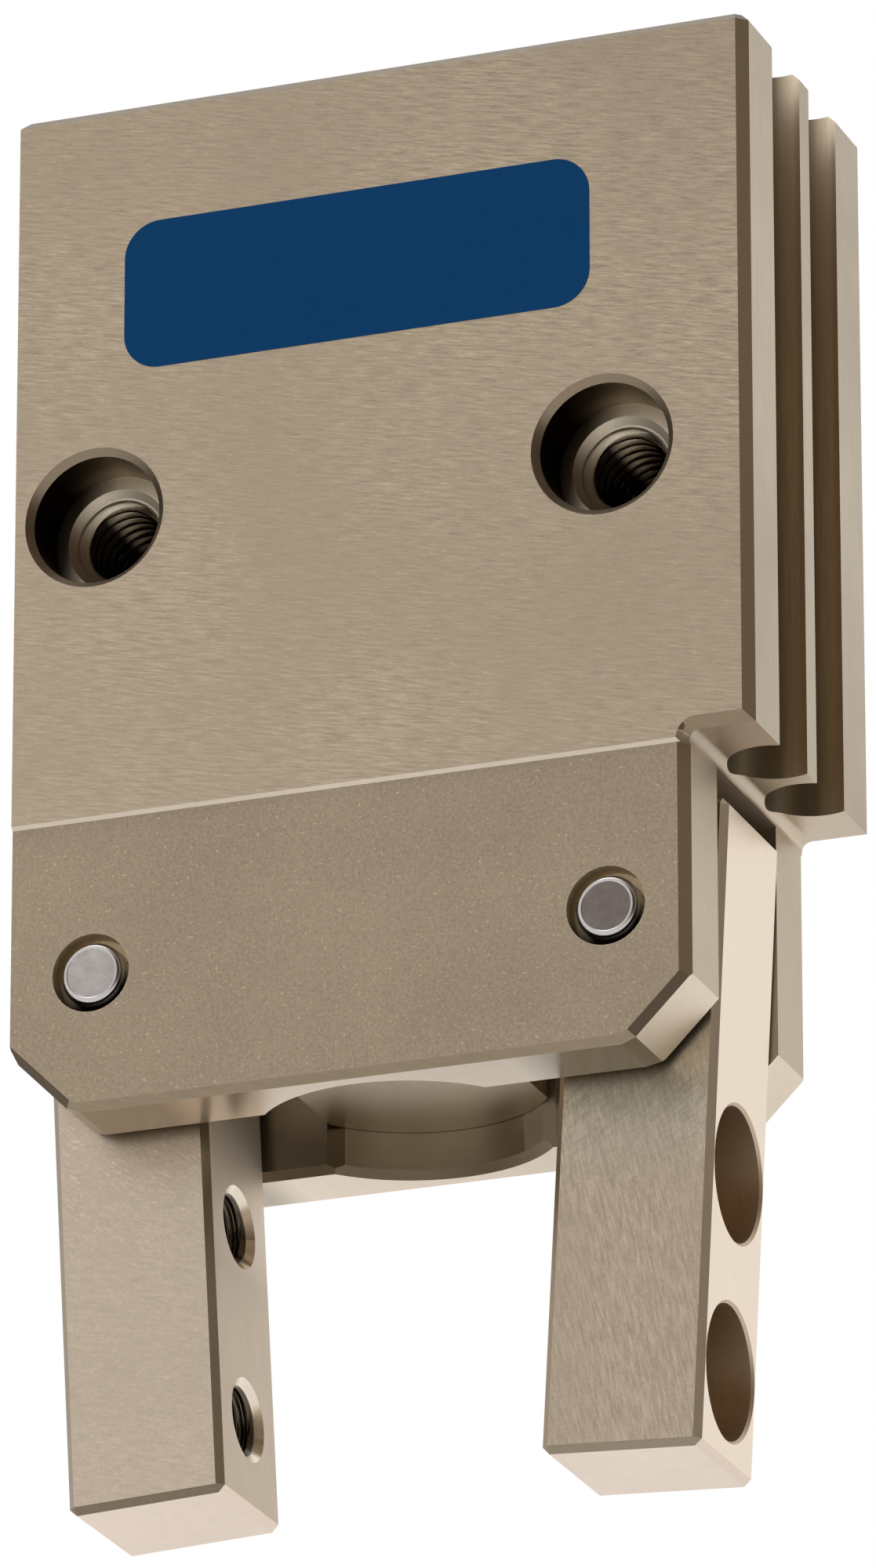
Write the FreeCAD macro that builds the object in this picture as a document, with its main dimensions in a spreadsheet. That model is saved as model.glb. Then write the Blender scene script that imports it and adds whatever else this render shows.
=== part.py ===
"""Angular gripper: a small double-acting air cylinder that swings two square fingers.

The piston pulls a crosshead up and down the bore. Two drive pins in the crosshead sit in the forked
levers of the jaws, so the jaws swing on their pivot pins: piston up closes, piston down opens.

Frame: millimetres, +Z up, fingers down, +X towards the sensor strip. The origin lies on the back
face, midway between the two mounting holes. Each piece is drawn about the bore axis, with z = 0 at
the mounting holes, or about its own pin, and is then placed. The jaws are closed.
"""
import FreeCAD, Part
import math
import os

import Sketcher

# Driving sizes in millimetres and degrees: name, value, meaning.
SIZES = (
    ("bore_diameter", 12.0, "cylinder bore"),
    ("bore_wall", 1.5, "front and back wall beside the bore"),
    ("pivot_spacing", 22.8, "between the jaw pivots, and between the mounting holes above them"),
    ("pivot_height", 6.0, "pivots above the cheek bottoms"),
    ("body_height", 45.2, "body, from the cheek bottoms to the top"),
    ("hole_height", 26.4, "mounting holes above the cheek bottoms"),
    ("counterbore_diameter", 5.7, "screw head recess of a mounting hole"),
    ("counterbore_depth", 2.75, "depth of that recess"),
    ("thread_diameter", 4.0, "mounting threads, nominal"),
    ("mouth_chamfer", 0.3, "countersink at the mouth of a screw hole"),
    ("edge_web", 0.45, "metal between a mounting hole and the body side"),
    ("finish_height", 12.9, "top of the blasted zone above the cheek bottoms"),
    ("finish_step", 0.15, "setback of the blasted zone on the front and back"),
    ("cheek_corner", 2.7, "45 degree corner of the cheeks"),
    ("edge_chamfer", 0.45, "front and back edges on the strip side"),
    ("rim_chamfer", 0.35, "edges round the cheek bottoms and the top"),
    ("strip_width", 2.9, "sensor strip beyond the body side"),
    ("strip_height", 13.3, "strip underside above the cheek bottoms"),
    ("strip_fillet", 0.45, "hollow under the strip"),
    ("bore_flat", 0.4, "flat where the bore meets the slot, along each of them"),
    ("groove_diameter", 3.9, "round bottom of a sensor groove"),
    ("groove_mouth", 3.5, "opening of a sensor groove"),
    ("groove_spacing", 4.7, "between the two sensor grooves"),
    ("port_diameter", 5.0, "air port thread, nominal"),
    ("port_depth", 5.0, "depth of an air port"),
    ("passage_diameter", 1.0, "drilling from an air port to the bore"),
    ("passage_margin", 0.1, "passage to the end of the bore"),
    ("finger_width", 6.9, "finger, from outer to inner face"),
    ("finger_chamfer", 0.3, "finger edges"),
    ("jaw_clearance", 0.4, "between a jaw and each slot wall"),
    ("knuckle_gap", 0.95, "between the top of a jaw and the slot top"),
    ("pad_hole_drop", 3.5, "first finger hole below the cheek bottoms"),
    ("pad_hole_pitch", 8.5, "between the two finger holes"),
    ("pad_hole_tip", 4.0, "last finger hole above the fingertip"),
    ("pad_counterbore_diameter", 5.7, "screw head recess of a finger hole"),
    ("pad_counterbore_depth", 3.5, "depth of that recess"),
    ("pad_mouth_chamfer", 0.12, "countersink at the mouth of that recess"),
    ("pad_thread_diameter", 3.0, "finger threads, nominal"),
    ("pad_web", 0.33, "metal beside a finger hole"),
    ("close_angle", 3.0, "jaw past parallel when closed"),
    ("open_angle", 15.0, "jaw past parallel when open"),
    ("lever_thickness", 4.0, "forked lever of a jaw"),
    ("fork_prong", 1.3, "prong of the fork"),
    ("fork_overhang", 1.3, "fork past the drive pin"),
    ("fork_clearance", 0.05, "between fork and drive pin"),
    ("drive_pin_diameter", 2.0, "drive pins of the crosshead"),
    ("drive_pin_edge", 1.25, "drive pin to the crosshead flat"),
    ("drive_pin_inset", 0.15, "end of a drive pin inside the crosshead"),
    ("pivot_pin_diameter", 2.8, "pivot pins of the jaws"),
    ("pivot_pin_inset", 0.05, "pin end below the cheek face"),
    ("pivot_pin_bevel", 0.3, "bevel of the pin ends"),
    ("pivot_recess_gap", 0.32, "ring between a pin end and its recess"),
    ("pivot_recess_depth", 1.0, "depth of the recess round a pin end"),
    ("pivot_bush_wall", 0.6, "plain bearing of a jaw"),
    ("crosshead_rise", 2.0, "crosshead underside above the cheek bottoms"),
    ("crosshead_flat_depth", 1.1, "flat on each side of the crosshead"),
    ("crosshead_hub", 2.45, "crosshead above its lever slot"),
    ("crosshead_gap", 0.3, "crosshead to the partition when closed"),
    ("lever_gap", 0.55, "lever slot above and below a fork"),
    ("lever_side_gap", 0.2, "lever slot beside a lever"),
    ("rod_diameter", 5.0, "piston rod"),
    ("rod_thread", 3.0, "threaded ends of the piston rod"),
    ("rod_gap", 0.15, "rod hole round the rod"),
    ("partition_height", 7.0, "wall between cylinder and crosshead"),
    ("rod_bush_wall", 0.75, "rod bearing"),
    ("rod_bush_length", 3.4, "rod bearing"),
    ("rod_seal_depth", 1.6, "rod seal, across"),
    ("rod_seal_height", 1.8, "rod seal, along"),
    ("rod_seal_cover", 0.9, "metal above the rod seal"),
    ("bumper_height", 1.0, "rubber end stops"),
    ("bumper_width", 2.0, "rubber end stops, across the ring"),
    ("bumper_margin", 1.0, "bore wall to an end stop"),
    ("end_gap", 0.1, "piston to an end stop"),
    ("piston_seal_depth", 1.5, "piston seal, across"),
    ("piston_seal_height", 2.0, "piston seal, along"),
    ("piston_seal_margin", 1.2, "piston below its seal"),
    ("rod_socket", 3.0, "rod end inside the piston"),
    ("magnet_share", 0.26, "ring magnet, as a share of the piston's length"),
    ("magnet_bore", 6.0, "ring magnet"),
    ("magnet_setback", 0.35, "ring magnet inside the piston's outside"),
    ("piston_cap_share", 0.15, "disc that holds the magnet, as a share of the piston's length"),
    ("screw_seat_share", 0.2, "disc under the screw head, as a share of the disc"),
    ("screw_head_diameter", 5.0, "piston screw"),
    ("screw_gap", 0.1, "piston screw in its holes"),
    ("screw_grip", 5.0, "piston screw inside the rod"),
    ("cap_height", 5.0, "end cap"),
    ("cap_shoulder", 0.25, "seat of the end cap in the bore"),
    ("cap_ring_section", 1.4, "O-ring of the end cap"),
    ("cap_ring_groove", 1.8, "O-ring groove, along"),
    ("ring_bite", 0.35, "retaining ring in its groove"),
    ("ring_width", 1.3, "retaining ring, across"),
    ("ring_thickness", 1.0, "retaining ring"),
    ("ring_lug_diameter", 2.2, "lugs of the retaining ring"),
    ("ring_lug_hole", 1.0, "plier holes in the lugs"),
    ("ring_opening", 2.4, "gap between the ends of the retaining ring"),
    ("ring_recess", 1.0, "retaining ring below the top face"),
    ("running_clearance", 0.04, "radial, between sliding or turning pieces"),
    ("snug_clearance", 0.01, "radial, between pieces that stay put"),
)

# How far a cutting outline reaches past the metal it cuts.
OVERCUT = 0.5
TOLERANCE = 1e-4
# Half a side of a regular eight-sided figure whose inner radius is 1.
EIGHTH = math.tan(math.pi / 8)
# Share by which the cut of a flat passes the faces that it joins.
MARGIN = 0.1

doc = FreeCAD.newDocument("angular_gripper")
sheet = doc.addObject("Spreadsheet::Sheet", "Sizes")
for row, (alias, value, meaning) in enumerate(SIZES, start=1):
    sheet.set(f"A{row}", alias)
    sheet.set(f"B{row}", str(value))
    sheet.setAlias(f"B{row}", alias)
    sheet.set(f"C{row}", meaning)
doc.recompute()


class Size:
    """A cell of the sheet, or a sum worked out from cells: a number and the expression that gives it."""

    def __init__(self, text, value):
        self.text = text
        self.value = value

    @staticmethod
    def of(other):
        """Take a plain number as a size."""
        return other if isinstance(other, Size) else Size(repr(other), other)

    def __add__(self, other):
        other = Size.of(other)
        return Size(f"({self.text} + {other.text})", self.value + other.value)

    def __sub__(self, other):
        other = Size.of(other)
        return Size(f"({self.text} - {other.text})", self.value - other.value)

    def __rsub__(self, other):
        return Size.of(other) - self

    def __mul__(self, other):
        other = Size.of(other)
        return Size(f"({self.text} * {other.text})", self.value * other.value)

    def __truediv__(self, other):
        other = Size.of(other)
        return Size(f"({self.text} / {other.text})", self.value / other.value)

    def __neg__(self):
        return Size(f"(-1 * {self.text})", -self.value)

    def tan(self):
        """Tangent of an angle in degrees."""
        return Size(f"tan({self.text})", math.tan(math.radians(self.value)))

    def cos(self):
        """Cosine of an angle in degrees."""
        return Size(f"cos({self.text})", math.cos(math.radians(self.value)))

    def root(self):
        """Square root."""
        return Size(f"sqrt({self.text})", math.sqrt(self.value))


def cell(alias):
    """A driving size from the sheet."""
    return Size(f"Sizes.{alias}", sheet.get(alias))


def bind(thing, path, size):
    """Tie a property to the sheet."""
    thing.setExpression(path, Size.of(size).text)


def mirror_pairs(corners):
    """The same outline on the other side of the upright sketch axis."""
    return [(-Size.of(across), along) for across, along in corners]


# Sketches and features.

def new_body(name):
    """An empty body for one piece."""
    body = doc.addObject("PartDesign::Body", name)
    body.Label = name
    return body


def place(body, across=0, along=0, up=0):
    """Set a piece in the frame; along is measured from the bore axis."""
    bind(body, "Placement.Base.x", across)
    bind(body, "Placement.Base.y", Size.of(along) - half_depth)
    bind(body, "Placement.Base.z", up)
    return body


def origin_plane(body, role):
    """One of a body's own origin planes."""
    return next(item for item in body.Origin.OriginFeatures if item.Role == role)


def new_sketch(body, name, role, offset=(0, 0, 0), turn=None):
    """A sketch on an origin plane, moved and turned within that plane's axes."""
    sketch = body.newObject("Sketcher::SketchObject", f"{body.Label}_{name}")
    sketch.AttachmentSupport = [(origin_plane(body, role), "")]
    sketch.MapMode = "FlatFace"
    for axis, size in zip("xyz", offset):
        bind(sketch, f".AttachmentOffset.Base.{axis}", size)
    if turn is not None:
        sketch.AttachmentOffset = FreeCAD.Placement(
            sketch.AttachmentOffset.Base, FreeCAD.Rotation(FreeCAD.Vector(0, 0, 1), 1)
        )
        bind(sketch, ".AttachmentOffset.Rotation.Angle", turn)
    return sketch


def hold(sketch, geometry, point, across, along):
    """Hold a point of the sketch at a place given from the sketch's origin."""
    for kind, size in (("DistanceX", Size.of(across)), ("DistanceY", Size.of(along))):
        index = sketch.addConstraint(
            Sketcher.Constraint(kind, -1, 1, geometry, point, size.value)
        )
        sketch.setExpression(f"Constraints[{index}]", size.text)


def draw_outline(sketch, corners):
    """A closed outline of straight lines through the given corners."""
    first = sketch.GeometryCount
    points = [FreeCAD.Vector(Size.of(x).value, Size.of(y).value, 0) for x, y in corners]
    for start, end in zip(points, points[1:] + points[:1]):
        sketch.addGeometry(Part.LineSegment(start, end))
    for index, (across, along) in enumerate(corners):
        after = first + (index + 1) % len(corners)
        sketch.addConstraint(Sketcher.Constraint("Coincident", first + index, 2, after, 1))
        hold(sketch, first + index, 1, across, along)


def draw_circle(sketch, across, along, radius):
    """A circle held at its centre."""
    across, along, radius = Size.of(across), Size.of(along), Size.of(radius)
    centre = FreeCAD.Vector(across.value, along.value, 0)
    index = sketch.addGeometry(Part.Circle(centre, FreeCAD.Vector(0, 0, 1), radius.value))
    hold(sketch, index, 3, across, along)
    tie = sketch.addConstraint(Sketcher.Constraint("Radius", index, radius.value))
    sketch.setExpression(f"Constraints[{tie}]", radius.text)


def add_feature(body, kind, sketch, name):
    """A feature of the body made from a sketch."""
    feature = body.newObject(f"PartDesign::{kind}", f"{body.Label}_{name}")
    feature.Profile = sketch
    sketch.Visibility = False
    return feature


def pad(body, name, sketch, length):
    """Metal added equally to both sides of the sketch."""
    feature = add_feature(body, "Pad", sketch, name)
    feature.SideType = "Symmetric"
    bind(feature, "Length", length)
    doc.recompute()
    return feature


def cut(body, name, feature):
    """Finish a cutting feature and see that it took metal away."""
    before = feature.BaseFeature.Shape.Volume
    doc.recompute()
    if feature.Shape.Volume > before - TOLERANCE:
        raise RuntimeError(f"{body.Label}: {name} cuts nothing")
    return feature


def pocket(body, name, sketch, length):
    """Metal cut away equally on both sides of the sketch."""
    feature = add_feature(body, "Pocket", sketch, name)
    feature.SideType = "Symmetric"
    bind(feature, "Length", length)
    return cut(body, name, feature)


def pocket_below(body, name, sketch):
    """Everything cut away under a sketch that lies flat."""
    feature = add_feature(body, "Pocket", sketch, name)
    feature.Type = "ThroughAll"
    return cut(body, name, feature)


def turn_out(body, name, sketch, axis):
    """A turned cut about one of the sketch's axes."""
    feature = add_feature(body, "Groove", sketch, name)
    feature.ReferenceAxis = (sketch, [axis])
    feature.Angle = 360
    return cut(body, name, feature)


def mirror(body, feature, role):
    """The same cut again on the other side of an origin plane."""
    copy = body.newObject("PartDesign::Mirrored", f"{feature.Name}_mirrored")
    copy.Originals = [feature]
    copy.MirrorPlane = (origin_plane(body, role), [""])
    body.Tip = copy
    doc.recompute()
    return copy


def turned(name, corners, role="XZ_Plane"):
    """A piece turned from an outline of radius and length about its upright sketch axis."""
    body = new_body(name)
    sketch = new_sketch(body, "profile", role)
    draw_outline(sketch, corners)
    feature = add_feature(body, "Revolution", sketch, "turning")
    feature.ReferenceAxis = (sketch, ["V_Axis"])
    feature.Angle = 360
    doc.recompute()
    return body


def ring_profile(inner, outer, low, high):
    """Outline of a plain ring or tube."""
    return [(inner, low), (outer, low), (outer, high), (inner, high)]


def pick_edges(feature, wanted):
    """Names of the edges whose two ends pass a test."""
    return [
        f"Edge{number}"
        for number, edge in enumerate(feature.Shape.Edges, start=1)
        if all(wanted(vertex.Point) for vertex in edge.Vertexes)
    ]


def dress(body, kind, name, base, edges, path, size):
    """A chamfer or fillet along edges of the feature before it."""
    feature = body.newObject(f"PartDesign::{kind}", f"{body.Label}_{name}")
    feature.Base = (base, edges)
    bind(feature, path, size)
    doc.recompute()
    return feature


# Sizes that follow from the sheet. Levels are heights above the mounting holes.

half_depth = cell("bore_diameter") / 2 + cell("bore_wall")
cheek_half_depth = half_depth - cell("finish_step")
bore_radius = cell("bore_diameter") / 2
slide_radius = bore_radius - cell("running_clearance")
pivot_across = cell("pivot_spacing") / 2
pivot_edge = cell("counterbore_diameter") / 2 + cell("mouth_chamfer") + cell("edge_web")
half_width = pivot_across + pivot_edge
strip_across = half_width + cell("strip_width")

bottom = -cell("hole_height")
top = bottom + cell("body_height")
pivot_level = bottom + cell("pivot_height")
finish_level = bottom + cell("finish_height")
strip_level = bottom + cell("strip_height")

# The jaw levers: at rest they lean up by half their swing, and the same down when open.
half_swing = (cell("close_angle") + cell("open_angle")) / 2
crosshead_flat = slide_radius - cell("crosshead_flat_depth")
drive_across = crosshead_flat - cell("drive_pin_edge")
lever_reach = pivot_across - drive_across
drive_rise = lever_reach * half_swing.tan()
stroke = drive_rise * 2
drive_level = pivot_level + drive_rise
fork_half_gap = cell("drive_pin_diameter") / 2 + cell("fork_clearance")
fork_half_height = fork_half_gap + cell("fork_prong")
lever_slot_half = fork_half_height + cell("lever_gap")

crosshead_level = bottom + cell("crosshead_rise")
crosshead_top = drive_level + lever_slot_half + cell("crosshead_hub")
slot_level = crosshead_top + cell("crosshead_gap")

finger_thickness = (
    cell("pad_counterbore_diameter") + cell("pad_mouth_chamfer") * 2 + cell("pad_web") * 2
)
slot_half_width = finger_thickness / 2 + cell("jaw_clearance")
knuckle_height = slot_level - pivot_level - cell("knuckle_gap")
pad_holes = [cell("pivot_height") + cell("pad_hole_drop")]
pad_holes.append(pad_holes[0] + cell("pad_hole_pitch"))
finger_length = pad_holes[-1] + cell("pad_hole_tip")
thread_radius = cell("thread_diameter") / 2
pad_thread_radius = cell("pad_thread_diameter") / 2
pivot_pin_radius = cell("pivot_pin_diameter") / 2
pivot_recess_radius = pivot_pin_radius + cell("pivot_recess_gap")
bush_inner = pivot_pin_radius + cell("running_clearance")
bush_outer = bush_inner + cell("pivot_bush_wall")

# The cylinder: what the partition, the stops and the cap leave is the piston's length.
rod_radius = cell("rod_diameter") / 2
rod_hole_radius = rod_radius + cell("rod_gap")
floor_level = slot_level + cell("partition_height")
rod_bush_radius = rod_radius + cell("running_clearance") + cell("rod_bush_wall")
rod_bush_top = slot_level + cell("rod_bush_length")
rod_seal_radius = rod_radius + cell("rod_seal_depth")
rod_seal_top = floor_level - cell("rod_seal_cover")
rod_seal_level = rod_seal_top - cell("rod_seal_height")
ring_top = top - cell("ring_recess")
cap_top = ring_top - cell("running_clearance") - cell("ring_thickness")
cap_level = cap_top - cell("cap_height")
cap_radius = bore_radius + cell("cap_shoulder")
ring_groove_radius = cap_radius + cell("ring_bite")
piston_level = floor_level + cell("bumper_height") + cell("end_gap") + stroke
piston_top = cap_level - cell("bumper_height") - cell("end_gap")
piston_length = piston_top - piston_level
magnet_top = piston_top - piston_length * cell("piston_cap_share")
magnet_level = magnet_top - piston_length * cell("magnet_share")
screw_head_level = magnet_top + (piston_top - magnet_top) * cell("screw_seat_share")
piston_seal_level = piston_level + cell("piston_seal_margin")
piston_seal_top = piston_seal_level + cell("piston_seal_height")
piston_seal_inner = slide_radius - cell("piston_seal_depth")
rod_top = piston_level + cell("rod_socket")
screw_radius = cell("rod_thread") / 2
passage_inset = cell("passage_diameter") / 2 + cell("passage_margin")
upper_port_level = cap_level - passage_inset
lower_port_level = floor_level + passage_inset


# The housing.

def corner_cut(sketch, across, along, side):
    """A triangle that takes an upright edge off; side is +1 for the back and -1 for the front."""
    size = cell("edge_chamfer")
    draw_outline(
        sketch,
        [
            (across - size - OVERCUT, (along + OVERCUT) * side),
            (across + OVERCUT, (along - size - OVERCUT) * side),
            (across + OVERCUT, (along + OVERCUT) * side),
        ],
    )


def housing_block(body):
    """Front outline with the sensor strip and the cornered cheeks, carried through the depth."""
    corner = cell("cheek_corner")
    sketch = new_sketch(body, "outline", "XZ_Plane")
    draw_outline(
        sketch,
        [
            (-half_width, top),
            (strip_across, top),
            (strip_across, strip_level),
            (half_width, strip_level),
            (half_width, bottom + corner),
            (half_width - corner, bottom),
            (corner - half_width, bottom),
            (-half_width, bottom + corner),
        ],
    )
    block = pad(body, "block", sketch, half_depth * 2)
    hollow = pick_edges(
        block,
        lambda point: abs(point.x - half_width.value) < TOLERANCE
        and abs(point.z - strip_level.value) < TOLERANCE,
    )
    block = dress(body, "Fillet", "strip_hollow", block, hollow, "Radius", cell("strip_fillet"))
    edges = []
    for face in (-half_depth.value, half_depth.value):
        edges += pick_edges(
            block,
            lambda point, face=face: abs(point.y - face) < TOLERANCE
            and point.x > half_width.value - TOLERANCE,
        )
    dress(body, "Chamfer", "strip_edges", block, edges, "Size", cell("edge_chamfer"))


def housing_edges(body):
    """The blasted zone's setback and the chamfers of the outside edges."""
    step = cell("finish_step")
    sketch = new_sketch(body, "setback", "YZ_Plane")
    draw_outline(
        sketch,
        [
            (-half_depth - OVERCUT, bottom - OVERCUT),
            (-cheek_half_depth, bottom - OVERCUT),
            (-cheek_half_depth, finish_level - step),
            (-half_depth, finish_level),
            (-half_depth - OVERCUT, finish_level),
        ],
    )
    setback = pocket(body, "setback_cut", sketch, strip_across * 2 + OVERCUT)
    mirror(body, setback, "XZ_Plane")

    sketch = new_sketch(body, "cheek_edges", "XY_Plane", (0, 0, finish_level - step))
    for side in (-1, 1):
        corner_cut(sketch, half_width, cheek_half_depth, side)
    last = pocket_below(body, "cheek_edge_cut", sketch)

    highest = (bottom + cell("cheek_corner")).value + TOLERANCE
    lower_edges = pick_edges(
        last,
        lambda point: abs(abs(point.y) - cheek_half_depth.value) < TOLERANCE and point.z < highest,
    )
    last = dress(body, "Chamfer", "cheek_rim", last, lower_edges, "Size", cell("rim_chamfer"))
    top_edges = pick_edges(last, lambda point: abs(point.z - top.value) < TOLERANCE)
    return dress(body, "Chamfer", "top_rim", last, top_edges, "Size", cell("rim_chamfer"))


def housing_bores(body):
    """Sensor grooves, jaw slot and the stepped bore."""
    groove_radius = cell("groove_diameter") / 2
    half_mouth = cell("groove_mouth") / 2
    sagitta = (groove_radius * groove_radius - half_mouth * half_mouth).root()
    sketch = new_sketch(body, "sensor_grooves", "XY_Plane", (0, 0, top))
    for side in (-1, 1):
        draw_circle(
            sketch, strip_across - sagitta, cell("groove_spacing") / 2 * side, groove_radius
        )
    pocket_below(body, "sensor_groove_cut", sketch)

    rim = cell("rim_chamfer")
    slot_side = [
        (slot_half_width, slot_level),
        (slot_half_width, bottom + rim),
        (slot_half_width + rim + OVERCUT, bottom - OVERCUT),
    ]
    sketch = new_sketch(body, "jaw_slot", "YZ_Plane")
    draw_outline(sketch, slot_side + mirror_pairs(slot_side)[::-1])
    pocket(body, "jaw_slot_cut", sketch, strip_across * 2 + OVERCUT)

    sketch = new_sketch(body, "bore", "XZ_Plane")
    draw_outline(
        sketch,
        [
            (0, top + OVERCUT),
            (cap_radius, top + OVERCUT),
            (cap_radius, ring_top),
            (ring_groove_radius, ring_top),
            (ring_groove_radius, cap_top),
            (cap_radius, cap_top),
            (cap_radius, cap_level),
            (bore_radius, cap_level),
            (bore_radius, floor_level),
            (rod_hole_radius, floor_level),
            (rod_hole_radius, rod_seal_top),
            (rod_seal_radius, rod_seal_top),
            (rod_seal_radius, rod_seal_level),
            (rod_hole_radius, rod_seal_level),
            (rod_hole_radius, rod_bush_top),
            (rod_bush_radius, rod_bush_top),
            (rod_bush_radius, slot_level),
            (bore_radius, slot_level),
            (bore_radius, bottom + rim),
            (bore_radius + rim + OVERCUT, bottom - OVERCUT),
            (0, bottom - OVERCUT),
        ],
    )
    turn_out(body, "bore_cut", sketch, "V_Axis")

    reach = cell("bore_flat")
    meet = (bore_radius * bore_radius - slot_half_width * slot_half_width).root()
    lean = slot_half_width / bore_radius
    rise = meet / bore_radius
    sketch = new_sketch(body, "bore_flats", "XY_Plane", (0, 0, slot_level))
    for hand in (-1, 1):
        for side in (-1, 1):
            corners = [
                (meet + reach + reach * (lean + 1) * MARGIN, slot_half_width - reach * rise * MARGIN),
                (
                    meet - reach * lean - reach * (lean + 1) * MARGIN,
                    slot_half_width + reach * rise * (1 + MARGIN),
                ),
                (meet - reach, slot_half_width - reach),
            ]
            draw_outline(sketch, [(across * hand, along * side) for across, along in corners])
    pocket_below(body, "bore_flat_cut", sketch)


def housing_holes(body):
    """Mounting holes, pivot pin holes and air ports."""
    chamfer = cell("mouth_chamfer")
    head_radius = cell("counterbore_diameter") / 2
    seat = cell("counterbore_depth") - half_depth
    sketch = new_sketch(body, "mounting_hole", "XY_Plane", (pivot_across, 0, 0))
    draw_outline(
        sketch,
        [
            (0, -half_depth - OVERCUT),
            (head_radius + chamfer + OVERCUT, -half_depth - OVERCUT),
            (head_radius, chamfer - half_depth),
            (head_radius, seat),
            (thread_radius + chamfer, seat),
            (thread_radius, seat + chamfer),
            (thread_radius, half_depth - chamfer),
            (thread_radius + chamfer + OVERCUT, half_depth + OVERCUT),
            (0, half_depth + OVERCUT),
        ],
    )
    mirror(body, turn_out(body, "mounting_hole_cut", sketch, "V_Axis"), "YZ_Plane")

    press_radius = pivot_pin_radius + cell("snug_clearance")
    recess_end = cheek_half_depth - cell("pivot_recess_depth")
    sketch = new_sketch(body, "pivot_hole", "XY_Plane", (pivot_across, 0, pivot_level))
    draw_outline(
        sketch,
        [
            (0, -cheek_half_depth - OVERCUT),
            (pivot_recess_radius, -cheek_half_depth - OVERCUT),
            (pivot_recess_radius, -recess_end),
            (press_radius, -recess_end),
            (press_radius, recess_end),
            (pivot_recess_radius, recess_end),
            (pivot_recess_radius, cheek_half_depth + OVERCUT),
            (0, cheek_half_depth + OVERCUT),
        ],
    )
    mirror(body, turn_out(body, "pivot_hole_cut", sketch, "V_Axis"), "YZ_Plane")

    port_radius = cell("port_diameter") / 2
    port_end = cell("port_depth") - half_width
    passage_radius = cell("passage_diameter") / 2
    for name, level in (("upper_port", upper_port_level), ("lower_port", lower_port_level)):
        sketch = new_sketch(body, name, "XY_Plane", (0, 0, level))
        draw_outline(
            sketch,
            [
                (-half_width - OVERCUT, 0),
                (-half_width - OVERCUT, port_radius + chamfer + OVERCUT),
                (chamfer - half_width, port_radius),
                (port_end, port_radius),
                (port_end, passage_radius),
                (OVERCUT - bore_radius, passage_radius),
                (OVERCUT - bore_radius, 0),
            ],
        )
        turn_out(body, f"{name}_cut", sketch, "H_Axis")


def make_housing():
    """The machined body with its cheeks, bore, slot, holes and sensor strip."""
    body = new_body("housing")
    housing_block(body)
    housing_edges(body)
    housing_bores(body)
    housing_holes(body)
    return place(body)


# The cylinder's inner pieces.

def make_end_cap():
    """Plug of the cylinder with its O-ring groove."""
    radius = cap_radius - cell("snug_clearance")
    inner = cap_radius - cell("cap_ring_section") - cell("snug_clearance") * 2
    middle = (cap_level + cap_top) / 2
    half = cell("cap_ring_groove") / 2
    rim = cell("rim_chamfer")
    return place(
        turned(
            "end_cap",
            [
                (0, cap_level),
                (radius, cap_level),
                (radius, middle - half),
                (inner, middle - half),
                (inner, middle + half),
                (radius, middle + half),
                (radius, cap_top - rim),
                (radius - rim, cap_top),
                (0, cap_top),
            ],
        )
    )


def make_end_cap_ring():
    """O-ring of the end cap, its round section drawn with eight sides."""
    half = cell("cap_ring_section") / 2
    short = half * EIGHTH
    across = cap_radius - half - cell("snug_clearance")
    level = (cap_level + cap_top) / 2
    corners = [(half, -short), (half, short), (short, half), (-short, half)]
    corners += [(-half, short), (-half, -short), (-short, -half), (short, -half)]
    section = [(across + out, level + up) for out, up in corners]
    return place(turned("end_cap_ring", section))


def make_retaining_ring():
    """Sprung ring above the end cap, open at the front, with a plier lug at each end."""
    outer = ring_groove_radius - cell("running_clearance")
    inner = outer - cell("ring_width")
    half_thickness = cell("ring_thickness") / 2
    half_opening = cell("ring_opening") / 2
    lug_radius = cell("ring_lug_diameter") / 2
    lug_across = half_opening + lug_radius
    lug_along = lug_radius / 2 - inner
    body = turned("retaining_ring", ring_profile(inner, outer, -half_thickness, half_thickness))
    sketch = new_sketch(body, "opening", "XY_Plane")
    draw_outline(
        sketch,
        [
            (-half_opening, -outer - OVERCUT),
            (half_opening, -outer - OVERCUT),
            (half_opening, 0),
            (-half_opening, 0),
        ],
    )
    pocket(body, "opening_cut", sketch, cell("ring_thickness") + OVERCUT)
    sketch = new_sketch(body, "lugs", "XY_Plane")
    for side in (-1, 1):
        draw_circle(sketch, lug_across * side, lug_along, lug_radius)
    pad(body, "lug_pad", sketch, cell("ring_thickness"))
    sketch = new_sketch(body, "lug_holes", "XY_Plane")
    for side in (-1, 1):
        draw_circle(sketch, lug_across * side, lug_along, cell("ring_lug_hole") / 2)
    pocket(body, "lug_hole_cut", sketch, cell("ring_thickness") + OVERCUT)
    return place(body, up=cap_top + half_thickness)


def make_bumper(name, low):
    """Rubber ring that stops the piston at one end."""
    outer = bore_radius - cell("bumper_margin")
    inner = outer - cell("bumper_width")
    return place(turned(name, ring_profile(inner, outer, low, low + cell("bumper_height"))))


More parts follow.
